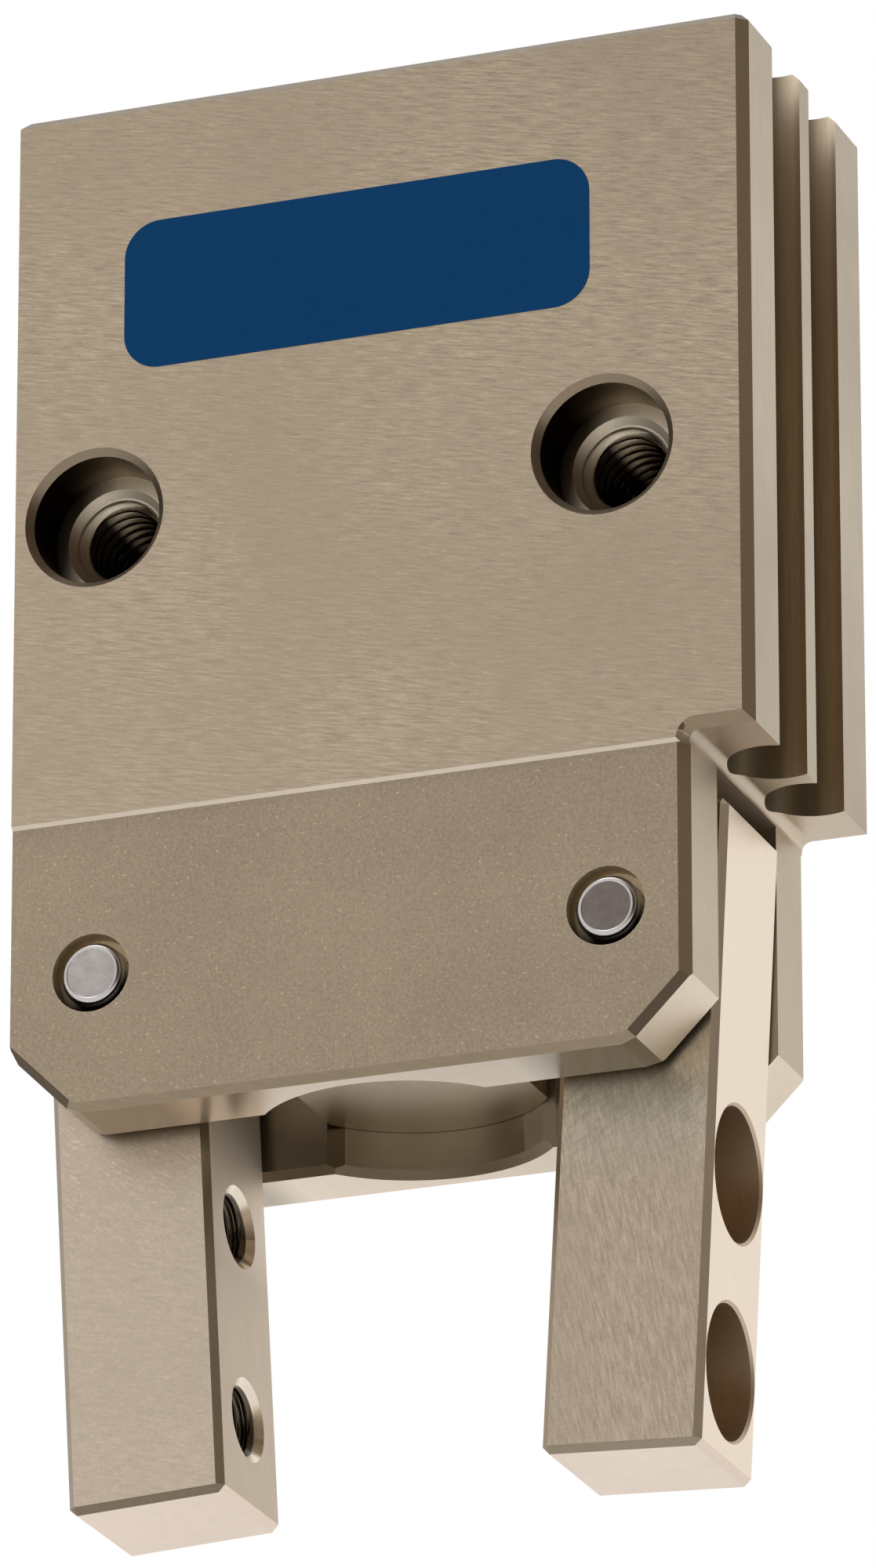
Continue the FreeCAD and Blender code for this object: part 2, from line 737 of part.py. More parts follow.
def make_piston_head():
    """Piston with its seal groove, rod socket and the spigot that carries the magnet."""
    spigot = cell("magnet_bore") / 2 - cell("snug_clearance")
    socket = rod_radius + cell("snug_clearance")
    screw_hole = screw_radius + cell("screw_gap")
    return place(
        turned(
            "piston_head",
            [
                (socket, piston_level),
                (slide_radius, piston_level),
                (slide_radius, piston_seal_level),
                (piston_seal_inner, piston_seal_level),
                (piston_seal_inner, piston_seal_top),
                (slide_radius, piston_seal_top),
                (slide_radius, magnet_level),
                (spigot, magnet_level),
                (spigot, magnet_top),
                (screw_hole, magnet_top),
                (screw_hole, rod_top),
                (socket, rod_top),
            ],
        )
    )


def make_piston_cap():
    """Disc that clamps the magnet, recessed for the screw head."""
    recess = cell("screw_head_diameter") / 2 + cell("screw_gap")
    screw_hole = screw_radius + cell("screw_gap")
    return place(
        turned(
            "piston_cap",
            [
                (screw_hole, magnet_top),
                (slide_radius, magnet_top),
                (slide_radius, piston_top),
                (recess, piston_top),
                (recess, screw_head_level),
                (screw_hole, screw_head_level),
            ],
        )
    )


def make_piston_screw():
    """Screw that clamps cap, magnet and piston to the rod."""
    head = cell("screw_head_diameter") / 2
    tip = rod_top - cell("screw_grip")
    return place(
        turned(
            "piston_screw",
            [
                (0, tip),
                (screw_radius, tip),
                (screw_radius, screw_head_level),
                (head, screw_head_level),
                (head, piston_top),
                (0, piston_top),
            ],
        )
    )


def make_piston_seal():
    """Rubber ring in the piston's groove."""
    inner = piston_seal_inner + cell("snug_clearance")
    gap = cell("running_clearance")
    return place(
        turned(
            "piston_seal",
            ring_profile(inner, slide_radius, piston_seal_level + gap, piston_seal_top - gap),
        )
    )


def make_piston_magnet():
    """Ring magnet that the sensors in the grooves read."""
    outer = slide_radius - cell("magnet_setback")
    return place(
        turned(
            "piston_magnet",
            ring_profile(cell("magnet_bore") / 2, outer, magnet_level, magnet_top),
        )
    )


def make_piston_rod():
    """Rod with the piston screw's hole at the top and the crosshead's thread at the foot."""
    screw_hole = screw_radius + cell("snug_clearance")
    hole_end = rod_top - cell("screw_grip")
    foot = drive_level + lever_slot_half
    return place(
        turned(
            "piston_rod",
            [
                (0, foot),
                (screw_radius, foot),
                (screw_radius, crosshead_top),
                (rod_radius, crosshead_top),
                (rod_radius, rod_top),
                (screw_hole, rod_top),
                (screw_hole, hole_end),
                (0, hole_end),
            ],
        )
    )


def make_rod_bush():
    """Plain bearing of the rod, pressed into the partition from below."""
    inner = rod_radius + cell("running_clearance")
    outer = rod_bush_radius - cell("snug_clearance")
    return place(turned("rod_bush", ring_profile(inner, outer, slot_level, rod_bush_top)))


def make_rod_seal():
    """Lip ring that seals the rod in the partition."""
    inner = rod_radius + cell("running_clearance")
    outer = rod_seal_radius - cell("snug_clearance")
    gap = cell("snug_clearance")
    return place(
        turned("rod_seal", ring_profile(inner, outer, rod_seal_level + gap, rod_seal_top - gap))
    )


# The crosshead and the jaws.

def make_crosshead():
    """Round slide with two side flats, slotted across for the levers and drilled for the drive pins."""
    hole = screw_radius + cell("snug_clearance")
    body = turned(
        "crosshead",
        [
            (0, crosshead_level),
            (slide_radius, crosshead_level),
            (slide_radius, crosshead_top),
            (hole, crosshead_top),
            (hole, drive_level),
            (0, drive_level),
        ],
    )
    height = crosshead_top - crosshead_level
    reach = slide_radius + OVERCUT
    flat = [
        (crosshead_flat, -reach),
        (reach, -reach),
        (reach, reach),
        (crosshead_flat, reach),
    ]
    sketch = new_sketch(body, "flats", "XY_Plane", (0, 0, (crosshead_top + crosshead_level) / 2))
    draw_outline(sketch, flat)
    draw_outline(sketch, mirror_pairs(flat))
    pocket(body, "flat_cut", sketch, height + OVERCUT)

    half_slot = cell("lever_thickness") / 2 + cell("lever_side_gap")
    sketch = new_sketch(body, "lever_slot", "YZ_Plane")
    draw_outline(
        sketch,
        ring_profile(
            -half_slot, half_slot, drive_level - lever_slot_half, drive_level + lever_slot_half
        ),
    )
    pocket(body, "lever_slot_cut", sketch, reach * 2)

    pin_hole = cell("drive_pin_diameter") / 2 + cell("snug_clearance")
    sketch = new_sketch(body, "pin_holes", "XZ_Plane")
    for side in (-1, 1):
        draw_circle(sketch, drive_across * side, drive_level, pin_hole)
    pocket(body, "pin_hole_cut", sketch, reach * 2)
    return place(body)


def pin_profile(radius, half_length, bevel):
    """Outline of a pin with bevelled ends."""
    return [
        (0, -half_length),
        (radius - bevel, -half_length),
        (radius, bevel - half_length),
        (radius, half_length - bevel),
        (radius - bevel, half_length),
        (0, half_length),
    ]


def make_drive_pin(name, side):
    """Pin of the crosshead that a jaw's fork rides on, short of the bore at its outer edge."""
    radius = cell("drive_pin_diameter") / 2
    edge = drive_across + radius
    chord = (slide_radius * slide_radius - edge * edge).root()
    half_length = chord - cell("drive_pin_inset")
    body = turned(name, ring_profile(0, radius, -half_length, half_length), "XY_Plane")
    return place(body, across=drive_across * side, up=drive_level)


def make_pivot_pin(name, side):
    """Pin that a jaw swings on, held by both cheeks."""
    half_length = cheek_half_depth - cell("pivot_pin_inset")
    profile = pin_profile(pivot_pin_radius, half_length, cell("pivot_pin_bevel"))
    return place(turned(name, profile, "XY_Plane"), across=pivot_across * side, up=pivot_level)


def make_pivot_bush(name, side):
    """Plain bearing pressed into a jaw."""
    outer = bush_outer - cell("snug_clearance")
    half = finger_thickness / 2
    body = turned(name, ring_profile(bush_inner, outer, -half, half), "XY_Plane")
    return place(body, across=pivot_across * side, up=pivot_level)


def jaw_hole(body, side, number, depth):
    """A finger hole: screw head recess from outside, thread from inside."""
    rim = cell("pad_mouth_chamfer")
    chamfer = cell("mouth_chamfer")
    outer = pivot_edge
    inner = outer - cell("finger_width")
    head_radius = cell("pad_counterbore_diameter") / 2
    seat = outer - cell("pad_counterbore_depth")
    profile = [
        (outer + OVERCUT, 0),
        (outer + OVERCUT, head_radius + rim + OVERCUT),
        (outer - rim, head_radius),
        (seat, head_radius),
        (seat, pad_thread_radius),
        (inner + chamfer, pad_thread_radius),
        (inner - OVERCUT, pad_thread_radius + chamfer + OVERCUT),
        (inner - OVERCUT, 0),
    ]
    sketch = new_sketch(body, f"pad_hole_{number}", "XY_Plane", (0, 0, -depth))
    draw_outline(sketch, [(across * side, radius) for across, radius in profile])
    turn_out(body, f"pad_hole_{number}_cut", sketch, "H_Axis")


def make_jaw(name, side):
    """Square finger with a forked lever; drawn parallel about its pivot, then leaned inwards."""
    body = new_body(name)
    outer = pivot_edge * side
    inner = (pivot_edge - cell("finger_width")) * side
    sketch = new_sketch(body, "finger", "XZ_Plane")
    draw_outline(sketch, ring_profile(inner, outer, -finger_length, knuckle_height))
    finger = pad(body, "finger_pad", sketch, finger_thickness)
    edges = [f"Edge{number}" for number in range(1, len(finger.Shape.Edges) + 1)]
    dress(body, "Chamfer", "finger_edges", finger, edges, "Size", cell("finger_chamfer"))

    # The lever leans up in the jaw, so that it swings evenly about the level of the pivots.
    lean = (half_swing - cell("close_angle")) * -side
    pin_reach = lever_reach / half_swing.cos()
    tip = (pin_reach + cell("fork_overhang")) * -side
    sketch = new_sketch(body, "lever", "XZ_Plane", turn=lean)
    draw_outline(sketch, ring_profile(0, tip, -fork_half_height, fork_half_height))
    pad(body, "lever_pad", sketch, cell("lever_thickness"))
    slot_end = (pin_reach - cell("fork_overhang") - cell("drive_pin_diameter") / 2) * -side
    sketch = new_sketch(body, "fork", "XZ_Plane", turn=lean)
    draw_outline(
        sketch,
        ring_profile(slot_end, tip + OVERCUT * -side, -fork_half_gap, fork_half_gap),
    )
    pocket(body, "fork_cut", sketch, finger_thickness)

    sketch = new_sketch(body, "pivot", "XZ_Plane")
    draw_circle(sketch, 0, 0, bush_outer)
    pocket(body, "pivot_cut", sketch, finger_thickness + OVERCUT)
    for number, depth in enumerate(pad_holes, start=1):
        jaw_hole(body, side, number, depth)
    body.Placement.Rotation = FreeCAD.Rotation(FreeCAD.Vector(0, side, 0), 1)
    bind(body, "Placement.Rotation.Angle", cell("close_angle"))
    return place(body, across=pivot_across * side, up=pivot_level)


def make_pieces():
    """Build every piece."""
    pieces = [
        make_housing(),
        make_end_cap(),
        make_end_cap_ring(),
        make_retaining_ring(),
        make_bumper("upper_bumper", cap_level - cell("bumper_height")),
        make_bumper("lower_bumper", floor_level),
        make_piston_head(),
        make_piston_cap(),
        make_piston_screw(),
        make_piston_seal(),
        make_piston_magnet(),
        make_piston_rod(),
        make_rod_bush(),
        make_rod_seal(),
        make_crosshead(),
    ]
    for hand, side in (("left", -1), ("right", 1)):
        pieces.append(make_drive_pin(f"{hand}_drive_pin", side))
        pieces.append(make_pivot_pin(f"{hand}_pivot_pin", side))
        pieces.append(make_pivot_bush(f"{hand}_pivot_bush", side))
        pieces.append(make_jaw(f"{hand}_jaw", side))
    return pieces


def write_pieces(pieces):
    """Check the document and every piece, then write one file for each."""
    doc.recompute()
    for item in doc.Objects:
        if {"Invalid", "Error"} & set(item.State):
            raise RuntimeError(f"{item.Name} failed: {item.State}")
    for piece in pieces:
        if piece.Shape.isNull() or not piece.Shape.isValid() or len(piece.Shape.Solids) != 1:
            raise RuntimeError(f"{piece.Label} is not one valid solid")
    os.makedirs("parts", exist_ok=True)
    for piece in pieces:
        piece.Shape.exportStep(f"parts/{piece.Label}.step")
        box = piece.Shape.BoundBox
        print(
            f"{piece.Label:18s} {piece.Shape.Volume:9.2f} mm3"
            f"  x {box.XMin:7.2f} {box.XMax:7.2f}"
            f"  y {box.YMin:7.2f} {box.YMax:7.2f}"
            f"  z {box.ZMin:7.2f} {box.ZMax:7.2f}"
        )


write_pieces(make_pieces())
print(f"stroke {stroke.value:.4f} mm, swing {2 * half_swing.value:.2f} degrees")
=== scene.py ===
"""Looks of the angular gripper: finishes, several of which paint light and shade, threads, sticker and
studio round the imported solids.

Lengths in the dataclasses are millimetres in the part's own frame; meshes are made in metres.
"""
import logging
import math
from collections.abc import Callable, Sequence
from dataclasses import dataclass
from enum import Enum

import bpy
from bpy.types import Material, Node, NodeTree, Object
from bpy.types import NodeSocket as Socket
from mathutils import Matrix, Vector


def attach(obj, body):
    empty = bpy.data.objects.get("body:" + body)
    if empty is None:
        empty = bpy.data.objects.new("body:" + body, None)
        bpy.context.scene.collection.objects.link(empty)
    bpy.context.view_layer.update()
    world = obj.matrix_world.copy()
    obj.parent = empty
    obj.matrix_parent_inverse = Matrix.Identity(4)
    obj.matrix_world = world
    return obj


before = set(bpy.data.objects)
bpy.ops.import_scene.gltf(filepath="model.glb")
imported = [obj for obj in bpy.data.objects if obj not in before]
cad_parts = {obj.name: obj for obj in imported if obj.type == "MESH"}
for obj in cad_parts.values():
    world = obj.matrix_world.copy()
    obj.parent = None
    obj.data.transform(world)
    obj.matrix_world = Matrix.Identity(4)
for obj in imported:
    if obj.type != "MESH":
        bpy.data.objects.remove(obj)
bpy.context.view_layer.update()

LOG = logging.getLogger("gripper")
MM = 0.001
AXIS_Y = -7.5
PIVOT_X = 11.4
PIVOT_Z = -20.4
JAW_LEAN = math.radians(3.0)
HANDS = (("left", -1), ("right", 1))

# Shares of a face's normal along an axis: square to it, nearly square, leaning, leaning a little.
SQUARE = 0.99
NEARLY = 0.9
LEANING = 0.5
SLIGHT = 0.3

# A tone of 0.5 shows a finish's own colour, 0 its darkest marks and 1 its lightest.
PLAIN_TONE = 0.5
TONE_RANGE = (0.5, 1.5)
GLOSS_SPAN = (0.2, 0.8)
RELIEF_HEIGHT = 0.04
FULL = (0.0, 1.0)

# Places of the colour sockets on a Mix node.
MIX_COLOURS = slice(6, 8)
MIX_RESULT = 2

Pair = tuple[float, float]
Span = Pair
Triple = tuple[float, float, float]
Colour = Triple


class Tree:
    """A node tree that is filled node by node."""

    def __init__(self, tree: NodeTree) -> None:
        """Keep the tree."""
        self.tree = tree

    def add(self, kind: str, settings: dict | None = None, **sockets: object) -> Node:
        """Add a node.

        Args:
            kind: Blender's node type.
            settings: properties of the node itself.
            sockets: input values or links, with _ for a space in the name.

        Returns:
            The new node.
        """
        node = self.tree.nodes.new(kind)
        for name, value in (settings or {}).items():
            setattr(node, name, value)
        for name, value in sockets.items():
            self.feed(node.inputs[name.replace("_", " ")], value)
        return node

    def feed(self, target: Socket, value: object) -> None:
        """Link a socket, or set its value.

        Args:
            target: the socket.
            value: the socket that it is linked to, or its value.
        """
        if isinstance(value, Socket):
            self.tree.links.new(value, target)
        else:
            target.default_value = value

    def fill(self, node: Node, values: Sequence[object]) -> Node:
        """Feed a node's inputs in their order.

        Args:
            node: the node.
            values: its input values or links.

        Returns:
            The same node.
        """
        for target, value in zip(node.inputs, values):
            self.feed(target, value)
        return node

    def math(self, operation: str, *values: object) -> Socket:
        """The result of a new Math node."""
        return self.fill(self.add("ShaderNodeMath", {"operation": operation}), values).outputs[0]

    def vector(self, operation: str, *values: object, output: str = "Vector") -> Socket:
        """A result of a new Vector Math node."""
        node = self.add("ShaderNodeVectorMath", {"operation": operation})
        return self.fill(node, values).outputs[output]

    def spread(self, value: Socket, span: Span, result: Span = FULL) -> Socket:
        """A value mapped from one span to another, with no overshoot."""
        node = self.add("ShaderNodeMapRange")
        return self.fill(node, (value, *span, *result)).outputs[0]

    def blend(self, share: Socket, first: Colour | Socket, second: Colour | Socket) -> Socket:
        """Mix two colours, given as numbers or as links.

        Args:
            share: how much of the second one shows.
            first: the first colour.
            second: the second colour.

        Returns:
            The mixed colour.
        """
        node = self.add("ShaderNodeMix", {"data_type": "RGBA"})
        self.feed(node.inputs["Factor"], share)
        for target, colour in zip(node.inputs[MIX_COLOURS], (first, second)):
            self.feed(target, colour if isinstance(colour, Socket) else (*colour, 1.0))
        return node.outputs[MIX_RESULT]

    def mix(self, share: Socket, first: Socket, second: Socket) -> Socket:
        """Two shaders mixed, with the share of the second."""
        return self.fill(self.add("ShaderNodeMixShader"), (share, first, second)).outputs[0]

    def seen(self, path: Node) -> Socket:
        """A value of 1 for what the camera sees, straight or through glass."""
        return self.math("MAXIMUM", path.outputs["Is Camera Ray"], path.outputs["Is Transmission Ray"])

    def group(self, group: NodeTree, **sockets: object) -> Node:
        """Place a node group."""
        return self.add("ShaderNodeGroup", {"node_tree": group}, **sockets)

    def finish(self, shader: Socket, output: str = "ShaderNodeOutputMaterial") -> None:
        """Link the shader to the output."""
        self.feed(self.add(output).inputs["Surface"], shader)


@dataclass(frozen=True)
class GroupShape:
    """Name of a shared effect, names and kinds of its inputs, and names of its outputs."""

    name: str
    inputs: tuple[tuple[str, str], ...]
    outputs: tuple[str, ...]

    def start(self) -> tuple[NodeTree, Tree, Node, Node]:
        """Make the empty group.

        Returns:
            The group, its Tree, its input node and its output node.
        """
        group = bpy.data.node_groups.new(self.name, "ShaderNodeTree")
        for name, kind in self.inputs:
            group.interface.new_socket(name, in_out="INPUT", socket_type=f"NodeSocket{kind}")
        for name in self.outputs:
            group.interface.new_socket(name, in_out="OUTPUT", socket_type="NodeSocketFloat")
        tree = Tree(group)
        return group, tree, tree.add("NodeGroupInput"), tree.add("NodeGroupOutput")


@dataclass
class Effects:
    """The shared effects, each built once; a span is the part of a pattern's values that counts."""

    line_span: Span = (0.2, 0.8)
    dash_span: Span = (0.60, 0.72)
    patch_span: Span = (0.3, 0.7)
    depth_span: Span = (0.35, 0.65)
    depths: Span = (0.4, 1.6)
    grain_span: Span = (0.25, 0.75)
    speck_span: Span = (0.66, 0.75)
    ring_span: Span = (0.3, 0.7)
    edge_span: Span = (0.99, 0.85)
    speck_size: float = 0.75
    rings_per_metre: float = 9000.0

    def __post_init__(self) -> None:
        """Build every group."""
        self.lines = self.make_lines()
        self.grain = self.make_grain()
        self.rings = self.make_rings()
        self.edges = self.make_edges()

    def make_lines(self) -> NodeTree:
        """Tool marks: noise drawn out along a direction, short bright dashes and broad patches.

        Returns:
            The group.
        """
        shape = GroupShape(
            "tool_lines",
            (("Vector", "Vector"), ("Stretch", "Vector"), ("Angle", "Float")),
            ("Lines", "Dashes", "Patches"),
        )
        group, tree, given, result = shape.start()
        turned = tree.add(
            "ShaderNodeVectorRotate", {"rotation_type": "Y_AXIS"},
            Vector=given.outputs["Vector"], Angle=given.outputs["Angle"],
        )
        place = tree.vector("MULTIPLY", turned.outputs[0], given.outputs["Stretch"])
        fine = tree.add("ShaderNodeTexNoise", Vector=place, Scale=1.0, Detail=5.0, Roughness=0.7)
        short = tree.add("ShaderNodeTexNoise", Vector=place, Scale=2.6, Detail=1.0, Roughness=0.5)
        broad = tree.add(
            "ShaderNodeTexNoise", Vector=given.outputs["Vector"], Scale=75.0, Detail=4.0, Roughness=0.6
        )
        depth = tree.spread(broad.outputs[0], self.depth_span, self.depths)
        swing = tree.math("SUBTRACT", fine.outputs[0], PLAIN_TONE)
        marks = tree.math("MULTIPLY_ADD", swing, depth, PLAIN_TONE)
        lines = tree.spread(marks, self.line_span)
        dashes = tree.spread(short.outputs[0], self.dash_span)
        tree.fill(result, (lines, dashes, tree.spread(broad.outputs[0], self.patch_span)))
        return group

    def make_grain(self) -> NodeTree:
        """Blasted grain with small bright specks.

        Returns:
            The group.
        """
        shape = GroupShape("blast_grain", (("Vector", "Vector"), ("Scale", "Float")), ("Grain", "Specks"))
        group, tree, given, result = shape.start()
        place = given.outputs["Vector"]
        noise = tree.add(
            "ShaderNodeTexNoise", Vector=place, Scale=given.outputs["Scale"], Detail=2.0, Roughness=0.7
        )
        coarse = tree.math("MULTIPLY", given.outputs["Scale"], self.speck_size)
        cells = tree.add("ShaderNodeTexNoise", Vector=place, Scale=coarse, Detail=1.0)
        grain = tree.spread(noise.outputs[0], self.grain_span)
        tree.fill(result, (grain, tree.spread(cells.outputs[0], self.speck_span)))
        return group

    def make_rings(self) -> NodeTree:
        """Turning marks: fine rings about an axis that lies along Y.

        Returns:
            The group.
        """
        shape = GroupShape("turning_rings", (("Vector", "Vector"), ("Centre", "Vector")), ("Rings",))
        group, tree, given, result = shape.start()
        offset = tree.vector("SUBTRACT", given.outputs["Vector"], given.outputs["Centre"])
        flat = tree.vector("MULTIPLY", offset, (1.0, 0.0, 1.0))
        reach = tree.vector("LENGTH", flat, output="Value")
        turns = tree.math("MULTIPLY", reach, self.rings_per_metre)
        noise = tree.add("ShaderNodeTexNoise", {"noise_dimensions": "1D"}, W=turns, Scale=1.0, Detail=3.0)
        tree.feed(result.inputs["Rings"], tree.spread(noise.outputs[0], self.ring_span))
        return group

    def make_edges(self) -> NodeTree:
        """Painted edge highlights: where the rounded normal turns away from the face.

        Returns:
            The group.
        """
        shape = GroupShape("painted_edge_highlights", (("Radius", "Float"),), ("Edge",))
        group, tree, given, result = shape.start()
        rounded = tree.add("ShaderNodeBevel", {"samples": 4}, Radius=given.outputs["Radius"])
        normal = tree.add("ShaderNodeNewGeometry").outputs["True Normal"]
        match = tree.vector("DOT_PRODUCT", rounded.outputs[0], normal, output="Value")
        tree.feed(result.inputs["Edge"], tree.spread(match, self.edge_span))
        return group


class Surface(Tree):
    """The nodes of a new material, with the shared effects and the object coordinates at hand."""

    def __init__(self, name: str, effects: Effects) -> None:
        """Start the material.

        Args:
            name: its name.
            effects: the shared effects.
        """
        self.material = bpy.data.materials.new(name)
        self.material.use_nodes = True
        self.material.node_tree.nodes.clear()
        super().__init__(self.material.node_tree)
        self.effects = effects
        self.place = self.add("ShaderNodeTexCoord").outputs["Object"]

    def toned(self, tone: Socket, colour: Colour) -> Socket:
        """A colour with its dark and light marks."""
        dark, light = (tuple(part * share for part in colour) for share in TONE_RANGE)
        return self.blend(tone, dark, light)

    def relief(self, tone: Socket, strength: float) -> Socket:
        """The normal of a surface whose light marks stand out."""
        bump = self.add("ShaderNodeBump", Strength=strength, Distance=RELIEF_HEIGHT * MM, Height=tone)
        return bump.outputs[0]

    def gloss(self, tone: Socket, roughness: float, swing: float) -> Socket:
        """A roughness that is less where the tone is light."""
        return self.spread(tone, GLOSS_SPAN, (roughness + swing, roughness - swing))

    def grained(self, scale: float, strength: float) -> Socket:
        """A tone with nothing but grain."""
        grain = self.group(self.effects.grain, Vector=self.place, Scale=scale).outputs["Grain"]
        return self.math("MULTIPLY_ADD", grain, strength, PLAIN_TONE - strength / 2.0)

    def shaded(self, **sockets: object) -> Material:
        """Close the material with a Principled shader."""
        self.finish(self.add("ShaderNodeBsdfPrincipled", **sockets).outputs[0])
        return self.material


class Lay(Enum):
    """Direction of tool marks: the stretch of their noise on each axis per metre, and a turn about Y."""

    ACROSS = ((800.0, 800.0, 9000.0), math.radians(-11.5))
    UPRIGHT = ((7000.0, 7000.0, 300.0), 0.0)
    THROUGH = ((7000.0, 300.0, 7000.0), 0.0)
    CROSSED = ((6000.0, 6000.0, 3500.0), 0.0)
    MOTTLED = ((1500.0, 1500.0, 1500.0), 0.0)
    SCRATCHED = ((1100.0, 4000.0, 6000.0), math.radians(-13.0))
    SCORED = ((900.0, 4000.0, 7000.0), math.radians(-36.0))
    SLANTED = ((8500.0, 4000.0, 1100.0), math.radians(12.0))
    HATCHED = ((700.0, 4000.0, 6000.0), math.radians(34.0))

    def draw(self, surface: Surface) -> Node:
        """Place the group of tool marks, laid this way."""
        stretch, angle = self.value
        return surface.group(surface.effects.lines, Vector=surface.place, Stretch=stretch, Angle=angle)


@dataclass(frozen=True)
class Marks:
    """A second set of tool marks that fades out downwards."""

    lay: Lay
    lines: float
    dashes: float
    top: float
    reach: float

    def add_to(self, surface: Surface, tone: Socket) -> Socket:
        """Add the marks to a tone.

        Args:
            surface: the material's nodes.
            tone: the tone so far.

        Returns:
            The marked tone.
        """
        marks = self.lay.draw(surface)
        height = surface.add("ShaderNodeSeparateXYZ", Vector=surface.place).outputs["Z"]
        share = surface.spread(height, ((self.top - self.reach) * MM, self.top * MM))
        swing = surface.math("SUBTRACT", marks.outputs["Lines"], PLAIN_TONE)
        lines = surface.math("MULTIPLY", swing, self.lines)
        lines = surface.math("MULTIPLY_ADD", marks.outputs["Dashes"], self.dashes, lines)
        return surface.math("MULTIPLY_ADD", lines, share, tone)


class Origin(Enum):
    """Where a drift is measured from.

    PART is the part's origin, MIDDLE its middle to both sides, and HOLE the axis of the nearest hole.
    """

    PART = "part"
    MIDDLE = "middle"
    HOLE = "hole"


@dataclass(frozen=True)
class Drift:
    """A second colour that a finish takes on along a direction, over a span in millimetres."""

    colour: Colour
    along: Triple
    span: Span
    origin: Origin = Origin.PART

    def share(self, surface: Surface) -> Socket:
        """How much of the second colour shows.

        Args:
            surface: the material's nodes.

        Returns:
            0 before the span, rising to 1 at its end.
        """
        place = surface.place
        if self.origin is Origin.MIDDLE:
            place = surface.vector("ABSOLUTE", place)
        if self.origin is Origin.HOLE:
            place = surface.vector("SUBTRACT", place, (PIVOT_X * MM, 0.0, 0.0))
            place = surface.vector("WRAP", place, (PIVOT_X * MM, 1.0, 1.0), (-PIVOT_X * MM, -1.0, -1.0))
        reach = surface.vector("DOT_PRODUCT", place, self.along, output="Value")
        return surface.spread(reach, (self.span[0] * MM, self.span[1] * MM))


@dataclass(frozen=True)
class MetalFinish:
    """A bare or anodised metal surface.

    Each strength, from lines to the edge highlight, is the share of the colour that those marks change;
    the edge highlight is painted light along edges. The fall lightens the tone along X, Y and Z per
    metre, a painted gradient of light, and the glance is the colour seen at a low angle.
    """

    name: str
    colour: Colour
    roughness: float
    lay: Lay = Lay.CROSSED
    lines: float = 0.12
    patches: float = 0.10
    grain: float = 0.0
    specks: float = 0.0
    dashes: float = 0.0
    edge_highlight: float = 0.0
    fall: Triple = (0.0, 0.0, 0.0)
    second: Marks | None = None
    drift: Drift | None = None
    glance: float = 1.0
    bump: float = 0.05
    swing: float = 0.06
    grain_scale: float = 8000.0
    edge_radius: float = 0.12

    def tone(self, surface: Surface) -> Socket:
        """Add up the marks.

        Args:
            surface: the material's nodes.

        Returns:
            The tone.
        """
        lines = self.lay.draw(surface)
        grain = surface.group(surface.effects.grain, Vector=surface.place, Scale=self.grain_scale)
        marks = (
            (lines.outputs["Lines"], self.lines),
            (lines.outputs["Patches"], self.patches),
            (grain.outputs["Grain"], self.grain),
            (grain.outputs["Specks"], self.specks),
            (lines.outputs["Dashes"], self.dashes),
        )
        tone = PLAIN_TONE - (self.lines + self.patches + self.grain) / 2.0
        for mark, strength in marks:
            tone = surface.math("MULTIPLY_ADD", mark, strength, tone)
        fall = surface.vector("DOT_PRODUCT", surface.place, self.fall, output="Value")
        tone = surface.math("ADD", fall, tone)
        return self.second.add_to(surface, tone) if self.second else tone

    def build(self, effects: Effects) -> Material:
        """Make the material.

        Args:
            effects: the shared effects.

        Returns:
            The new material.
        """
        surface = Surface(self.name, effects)
        tone = self.tone(surface)
        normal = surface.relief(tone, self.bump)
        # Painted highlight: the colour is lightened along edges, where the rounded normal turns away.
        if self.edge_highlight:
            edges = surface.group(effects.edges, Radius=self.edge_radius * MM)
            tone = surface.math("MULTIPLY_ADD", edges.outputs["Edge"], self.edge_highlight, tone)
        colour = surface.toned(tone, self.colour)
        if self.drift:
            other = surface.toned(tone, self.drift.colour)
            colour = surface.blend(self.drift.share(surface), colour, other)
        return surface.shaded(
            Base_Color=colour,
            Metallic=1.0,
            Roughness=surface.gloss(tone, self.roughness, self.swing),
            Specular_Tint=(self.glance, self.glance, self.glance, 1.0),
            Normal=normal,
        )


@dataclass(frozen=True)
class TurnedFinish:
    """A turned end face with fine rings about its pin."""

    name: str
    colour: Colour
    roughness: float
    across: float
    rings: float = 0.06
    mottle: float = 0.4
    bump: float = 0.1
    swing: float = 0.06

    def build(self, effects: Effects) -> Material:
        """Make the material.

        Args:
            effects: the shared effects.

        Returns:
            The new material.
        """
        surface = Surface(self.name, effects)
        centre = (self.across * MM, 0.0, PIVOT_Z * MM)
        rings = surface.group(effects.rings, Vector=surface.place, Centre=centre).outputs["Rings"]
        lines = Lay.MOTTLED.draw(surface).outputs["Lines"]
        middle = PLAIN_TONE - (self.rings + self.mottle) / 2.0
        tone = surface.math("MULTIPLY_ADD", rings, self.rings, middle)
        tone = surface.math("MULTIPLY_ADD", lines, self.mottle, tone)
        return surface.shaded(
            Base_Color=surface.toned(tone, self.colour),
            Metallic=1.0,
            Roughness=surface.gloss(tone, self.roughness, self.swing),
            Normal=surface.relief(tone, self.bump),
        )


@dataclass(frozen=True)
class SoftFinish:
    """Rubber, plastic or paper with a faint grain."""

    name: str
    colour: Colour
    roughness: float
    shine: float = 0.5
    scale: float = 6000.0
    grain: float = 0.2
    bump: float = 0.05
    swing: float = 0.1

    def build(self, effects: Effects) -> Material:
        """Make the material.

        Args:
            effects: the shared effects.

        Returns:
            The new material.
        """
        surface = Surface(self.name, effects)
        tone = surface.grained(self.scale, self.grain)
        return surface.shaded(
            Base_Color=surface.toned(tone, self.colour),
            Roughness=surface.gloss(tone, self.roughness, self.swing),
            Specular_IOR_Level=self.shine,
            Normal=surface.relief(tone, self.bump),
        )


